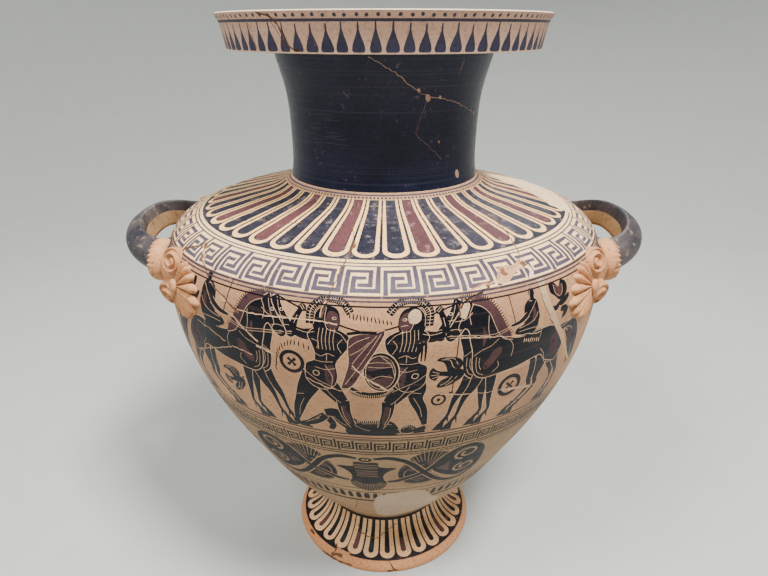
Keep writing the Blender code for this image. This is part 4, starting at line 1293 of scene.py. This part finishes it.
def handle_mesh():
    """The D section swept along the line: for each t, the line's point plus outward and up
    shares of the section, turned by the lean, and widened at the roots by the flare times t to
    the seventh power. A fan to its middle closes each end."""
    t = np.linspace(-1, 1, HANDLE_STEPS)
    line = handle_line(t)
    along = unit(np.gradient(line, axis=0))
    outward = unit(np.cross(along, (0, 0, 1)))
    up = np.cross(outward, along)
    up *= np.sign(up[:, 2:])
    a = np.linspace(-math.pi / 2, math.pi / 2, ROUND_POINTS)
    round_x = -HANDLE_THICKNESS / 2 + HANDLE_THICKNESS * np.abs(np.cos(a)) ** 0.8
    round_y = HANDLE_HALF_HEIGHT * np.sin(a)
    flat_y = np.linspace(HANDLE_HALF_HEIGHT, -HANDLE_HALF_HEIGHT, FLAT_POINTS + 2)[1:-1]
    swell = HANDLE_CROWN * np.cos(flat_y / HANDLE_HALF_HEIGHT * math.pi / 2)
    flat_x = -HANDLE_THICKNESS / 2 - swell
    x, y = np.concatenate([round_x, flat_x]), np.concatenate([round_y, flat_y])
    lean = (HANDLE_LEAN * np.cos(t * math.pi / 2))[:, None]
    out = x * np.cos(lean) + y * np.sin(lean)
    rise = -x * np.sin(lean) + y * np.cos(lean)
    flare = (1 + HANDLE_FLARE * np.abs(t) ** 7)[:, None]
    points = line[:, None] + (out * flare)[..., None] * outward[:, None]
    points = points + (rise * flare)[..., None] * up[:, None]
    points = kept_in_wall(points, ROOT_DEPTH)
    count = len(x)
    ring = np.arange(count)
    step = np.arange(len(t) - 1)[:, None] * count
    here, after = step + ring, step + (ring + 1) % count
    first = np.stack([here, after, after + count], axis=-1)
    second = np.stack([here, after + count, here + count], axis=-1)
    sides = np.stack([first, second], axis=2)
    slipped = ring < ROUND_POINTS + SLIPPED_FLAT_POINTS
    paints = np.broadcast_to(np.where(slipped, SLIP, CREAM)[None, :, None], sides.shape[:3])
    last = len(t) * count
    first_cap = np.column_stack([(ring + 1) % count, ring, np.full(count, last)])
    last_cap = np.column_stack([ring, (ring + 1) % count, np.full(count, last + 1)])
    last_cap[:, :2] += (len(t) - 1) * count
    middles = [points[0].mean(axis=0), points[-1].mean(axis=0)]
    all_points = np.vstack([points.reshape(-1, 3), middles])
    triangles = np.vstack([sides.reshape(-1, 3), first_cap, last_cap])
    paints = np.concatenate([paints.ravel(), np.full(2 * count, CREAM)])
    return all_points, triangles, paints


def outward_faces(points, triangles):
    """The triangles turned so that the volume they close is positive."""
    a, b, c = (points[triangles[:, i]] for i in range(3))
    volume = np.einsum("ij,ij->i", a, np.cross(b, c)).sum()
    return triangles if volume > 0 else triangles[:, ::-1]


for name, flip in (("handle_right", 1), ("handle_left", -1)):
    points, triangles, paints = handle_mesh()
    points = points * (flip, 1, 1)
    handle = joined(name, [(points, None, outward_faces(points, triangles), paints)], handle_finishes)
    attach(handle, "root")
    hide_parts("amphora")

# Palmettes
# A moulded palmette on the shoulder at each handle root: nine petals round a heart, two coiled
# volutes on a pad, and a beaded collar about the handle. Stuck on, and left as bare clay.
PALMETTE_AZIMUTH = math.radians(35.4)
PALMETTE_HEIGHT = 0.2825
PALMETTE_TURN = math.radians(-6.0)
PETAL_COUNT = 9
PETAL_FAN = math.radians(164.0)
PETAL_STEPS = 14
PETAL_LENGTH = 0.033
PETAL_SHORTENING = 0.0145
PETAL_RIDGE = 0.0042
PETAL_EDGE = 0.0002
PETAL_SINK = 0.0018
PETAL_GROOVE = 0.0006
PETAL_FOOT = 0.0042
WALL_REACH = 0.1685
SLOPE_STEP = 0.002
COLLAR_RADIUS = 0.0128
COLLAR_THICKNESS = 0.0034
COLLAR_WIDTH = 2.1
COLLAR_BEADS = 24
COLLAR_SIDES = 192
COLLAR_STEPS = 16
COLLAR_REACH = 0.1612
COLLAR_START = 0.153
COLLAR_ROOT_DEPTH = 0.004
HEART_RADIUS = 0.0046
HEART_HEIGHT = 0.0056
PAD_RADIUS = 0.0150
PAD_AZIMUTH = math.radians(30.5)
PAD_HEIGHT = 0.2845
PAD_TURN = math.radians(50)
PAD_DROOP = -0.1
VOLUTE_RADIUS = 0.0092
VOLUTE_THICKNESS = 0.0056
VOLUTE_WINDINGS = 2.2
VOLUTE_RIDGE = 0.46
BOSS_SIDES = 40
palmette_finishes = {
    CLAY: fired("palmette clay", (208, 150, 104), (180, 122, 82), (134, 90, 64), 0.58, 0.7, grain=0.0003),
}


def wall_frame(azimuth, height):
    """Points on the belly with their outward normals; azimuth runs from +X to the front."""
    radius, over, under = (
        np.interp(height + step, body_outline[:, 1], body_outline[:, 0])
        for step in (0.0, SLOPE_STEP, -SLOPE_STEP)
    )
    slope = (over - under) / (2 * SLOPE_STEP)
    outward = np.stack([np.cos(azimuth), -np.sin(azimuth), np.zeros_like(azimuth)], axis=-1)
    normal = unit(outward - slope[..., None] * np.array([0.0, 0.0, 1.0]))
    points = outward * radius[..., None]
    points[..., 2] = height
    return points, normal


def domed(points, foot):
    """A grid of points closed by its rim's fan to one foot point, as points and triangles."""
    rows, columns = points.shape[:2]
    numbers = np.arange(rows * columns).reshape(rows, columns)
    rim = np.concatenate([numbers[0, :-1], numbers[:-1, -1], numbers[-1, :0:-1], numbers[:0:-1, 0]])
    closing = np.column_stack([np.roll(rim, -1), rim, np.full(len(rim), rows * columns)])
    triangles = np.vstack([grid_triangles(rows, columns), closing])
    return np.vstack([points.reshape(-1, 3), [foot]]), triangles


def petals():
    """A polar grid round the heart. Across each petal the height rises from its edge to its
    middle line by a power of the distance, with a fine groove down the middle. Along it the
    height swells and then rounds down into the wall at the tip."""
    across = np.linspace(-1, 1, PETAL_COUNT * PETAL_STEPS + 1)
    out = np.linspace(0, 1, 22)[:, None]
    phase = (across + 1) / 2 * PETAL_COUNT
    from_middle = np.abs(phase - np.floor(phase) - 0.5) * 2
    from_middle[[0, -1]] = 1.0
    round_top = np.sqrt(np.clip(1 - from_middle ** 2, 0, 1))
    turn = PALMETTE_TURN + across * PETAL_FAN / 2
    longest = PETAL_LENGTH - PETAL_SHORTENING * np.abs(across)
    length = longest * (0.56 + 0.44 * round_top ** 0.8)
    ridge = PETAL_EDGE + (PETAL_RIDGE - PETAL_EDGE) * (1 - from_middle) ** 0.7
    swell = 0.70 + 0.30 * np.sin(np.clip(out / 0.8, 0, 1) * math.pi / 2)
    tip = np.clip((1 - out) / 0.16, 0, 1) ** 0.5
    above = ridge * swell * tip - PETAL_SINK * (1 - tip)
    above[:, [0, -1]] = -PETAL_SINK
    above[0] = 0.5 * PETAL_RIDGE
    groove = np.exp(-(from_middle / 0.18) ** 2) * np.clip(out * 3, 0, 1) * tip
    above = above - PETAL_GROOVE * groove
    azimuth = PALMETTE_AZIMUTH + out * length * np.cos(turn) / WALL_REACH
    height = PALMETTE_HEIGHT + out * length * np.sin(turn)
    points, normal = wall_frame(azimuth, height)
    points = points + normal * above[..., None]
    middle, outward = wall_frame(PALMETTE_AZIMUTH + 0.45 * PETAL_LENGTH / WALL_REACH, PALMETTE_HEIGHT)
    return domed(points, middle - outward * PETAL_FOOT)


def boss(place, normal, radius, profile, wind=0.0):
    """A round boss on the wall: `profile` gives (share of radius, height) pairs from the foot
    to the crown, and wind is the height of a ridge that coils in to the crown."""
    axes = np.array(Vector(normal).normalized().to_track_quat("Z", "Y").to_matrix())
    stations = np.asarray(profile, float)
    angle = np.arange(BOSS_SIDES + 1) / BOSS_SIDES * math.tau
    share = stations[:, :1]
    coil = (0.5 + 0.5 * np.cos(math.tau * VOLUTE_WINDINGS * share - angle)) ** 1.6
    lift = wind * coil * np.clip(share * 5, 0, 1) * np.clip((1 - share) * 8, 0, 1)
    local = np.stack([
        radius * share * np.cos(angle), radius * share * np.sin(angle), stations[:, 1:] + lift,
    ], axis=-1)
    points = local @ axes.T + place
    points[-1] = points[-1].mean(axis=0)
    rows, columns = points.shape[:2]
    ring = np.arange(columns - 1)
    closing = np.column_stack([ring + 1, ring, np.full(columns - 1, rows * columns)])
    triangles = np.vstack([grid_triangles(rows, columns), closing])
    return np.vstack([points.reshape(-1, 3), [points[0, :-1].mean(axis=0)]]), triangles


def beaded_collar():
    """A wide sleeve round the handle, a circle in plan and an oval in section, whose edge
    towards the handle's free middle swells into small beads by a cosine round it."""
    share = (COLLAR_REACH - COLLAR_START) / (HANDLE_REACH - COLLAR_START)
    t = -math.acos(share ** (HANDLE_SQUARENESS / 2)) * 2 / math.pi
    run = Vector(handle_line(t - 0.003) - handle_line(t + 0.003)).normalized()
    axes = np.array(run.to_track_quat("Z", "Y").to_matrix())
    around = np.arange(COLLAR_SIDES + 1)[:, None] / COLLAR_SIDES * math.tau
    about = np.arange(COLLAR_STEPS + 1) / COLLAR_STEPS * math.tau
    bead = 0.5 + 0.5 * np.cos(around * COLLAR_BEADS)
    outer_edge = np.clip(-np.sin(about), 0, 1)
    thick = COLLAR_THICKNESS * (0.78 + 0.22 * bead * outer_edge)
    reach = COLLAR_RADIUS + thick * np.cos(about)
    along = COLLAR_WIDTH * thick * np.sin(about)
    local = np.stack([reach * np.cos(around), reach * np.sin(around), along], axis=-1)
    points = kept_in_wall(local @ axes.T + handle_line(t), COLLAR_ROOT_DEPTH)
    return points.reshape(-1, 3), grid_triangles(COLLAR_SIDES + 1, COLLAR_STEPS + 1)


def palmette_parts():
    """The petals, heart, collar, pad and two volutes, as (points, triangles) pairs."""
    place, normal = wall_frame(PALMETTE_AZIMUTH, PALMETTE_HEIGHT)
    dome = [(1.0, -0.003), (1.0, 0.0040), (0.92, 0.0048), (0.7, 0.0054), (0.4, HEART_HEIGHT),
            (0.0, 0.0057)]
    parts = [petals(), boss(place, normal, HEART_RADIUS, dome), beaded_collar()]
    pad = [(1.0, -0.007), (1.0, -0.001), (0.94, 0.0), (0.8, 0.0008), (0.4, 0.0014), (0.0, 0.0014)]
    place, _ = wall_frame(PAD_AZIMUTH, PAD_HEIGHT)
    parts.append(boss(place, (math.cos(PAD_TURN), -math.sin(PAD_TURN), PAD_DROOP), PAD_RADIUS, pad))
    shares = np.concatenate([[1.0, 1.0, 0.97], np.linspace(0.9, 0.0, 24)])
    heights = np.concatenate([[-1.0, 0.45, 0.55], 0.58 + 0.1 * np.linspace(0, 1, 24)])
    volute = np.column_stack([shares, VOLUTE_THICKNESS * heights])
    for azimuth, height, turn, rise in ((31.5, 0.2960, 58.0, 12.0), (29.5, 0.2725, 50.0, -24.0)):
        place, _ = wall_frame(math.radians(azimuth), height)
        turn, rise = math.radians(turn), math.radians(rise)
        facing = (math.cos(turn) * math.cos(rise), -math.sin(turn) * math.cos(rise), math.sin(rise))
        parts.append(boss(place, facing, VOLUTE_RADIUS, volute, VOLUTE_THICKNESS * VOLUTE_RIDGE))
    return parts


for name, flip_x, flip_y in (
    ("palmette_front_right", 1, 1), ("palmette_front_left", -1, 1),
    ("palmette_back_right", 1, -1), ("palmette_back_left", -1, -1),
):
    parts = []
    for points, triangles in palmette_parts():
        points = points * (flip_x, flip_y, 1)
        triangles = outward_faces(points - points.mean(axis=0), triangles)
        parts.append((points, None, triangles, np.full(len(triangles), CLAY)))
    palmette = joined(name, parts, palmette_finishes)
    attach(palmette, "root")
    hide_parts("amphora")

# Studio
# A plain pale floor that curves up all round, a large soft key light from above right, a
# weaker fill from the left, a faint one from behind and a pale surround.
FLOOR_LEVEL = 1.1
FLOOR_SWEEP = 1.5
FLOOR_SIDES = 96
AIM_HEIGHT = 0.25
CAMERA_DISTANCE = 0.4674
CAMERA_HEIGHT = 0.4400
CAMERA_DOWN = 23.35
SURROUND_STRENGTH = 0.10


def floor_mesh():
    """A round floor, level near the pot and then swept up in a quarter circle."""
    bend = np.linspace(0, math.pi / 2, 16)
    radius = np.concatenate([[0.0, 0.5], FLOOR_LEVEL + FLOOR_SWEEP * np.sin(bend)])
    height = np.concatenate([[0.0, 0.0], FLOOR_SWEEP * (1 - np.cos(bend))])
    angle = np.arange(FLOOR_SIDES + 1)[None, :] / FLOOR_SIDES * math.tau
    points = np.stack([
        radius[:, None] * np.cos(angle), radius[:, None] * np.sin(angle),
        height[:, None] * np.ones_like(angle),
    ], axis=-1)
    return points.reshape(-1, 3), grid_triangles(len(radius), FLOOR_SIDES + 1)


floor_points, floor_triangles = floor_mesh()
floor_finish = fired("floor paper", (186, 189, 184), (183, 186, 181), (183, 186, 181), 0.9, 0.9,
                     grain=0.00002, sheen=0.1, dirt=0.0)
floor = joined("floor", [
    (floor_points, None, floor_triangles[:, ::-1], np.full(len(floor_triangles), CLAY)),
], {CLAY: floor_finish})

world = bpy.data.worlds.new("surround")
world.use_nodes = True
world.node_tree.nodes["Background"].inputs[0].default_value = (0.88, 0.90, 0.96, 1.0)
world.node_tree.nodes["Background"].inputs[1].default_value = SURROUND_STRENGTH
bpy.context.scene.world = world

for name, place, power, size in (
    ("key light", (0.45, -0.62, 1.75), 66.0, 0.40),
    ("fill light", (-0.75, -0.66, 1.70), 30.0, 0.50),
    ("back light", (0.3, 1.3, 1.5), 16.0, 0.8),
):
    lamp = bpy.data.lights.new(name, "AREA")
    lamp.energy = power
    lamp.size = size
    light = bpy.data.objects.new(name, lamp)
    light.location = place
    aim = Vector((0, 0, AIM_HEIGHT)) - Vector(place)
    light.rotation_euler = aim.to_track_quat("-Z", "Y").to_euler()
    bpy.context.scene.collection.objects.link(light)

lens = bpy.data.cameras.new("camera")
lens.lens = 28.125
lens.sensor_width = 36
camera = bpy.data.objects.new("camera", lens)
camera.location = (0, -CAMERA_DISTANCE, CAMERA_HEIGHT)
camera.rotation_euler = (math.radians(90 - CAMERA_DOWN), 0, 0)
bpy.context.scene.collection.objects.link(camera)
bpy.context.scene.camera = camera
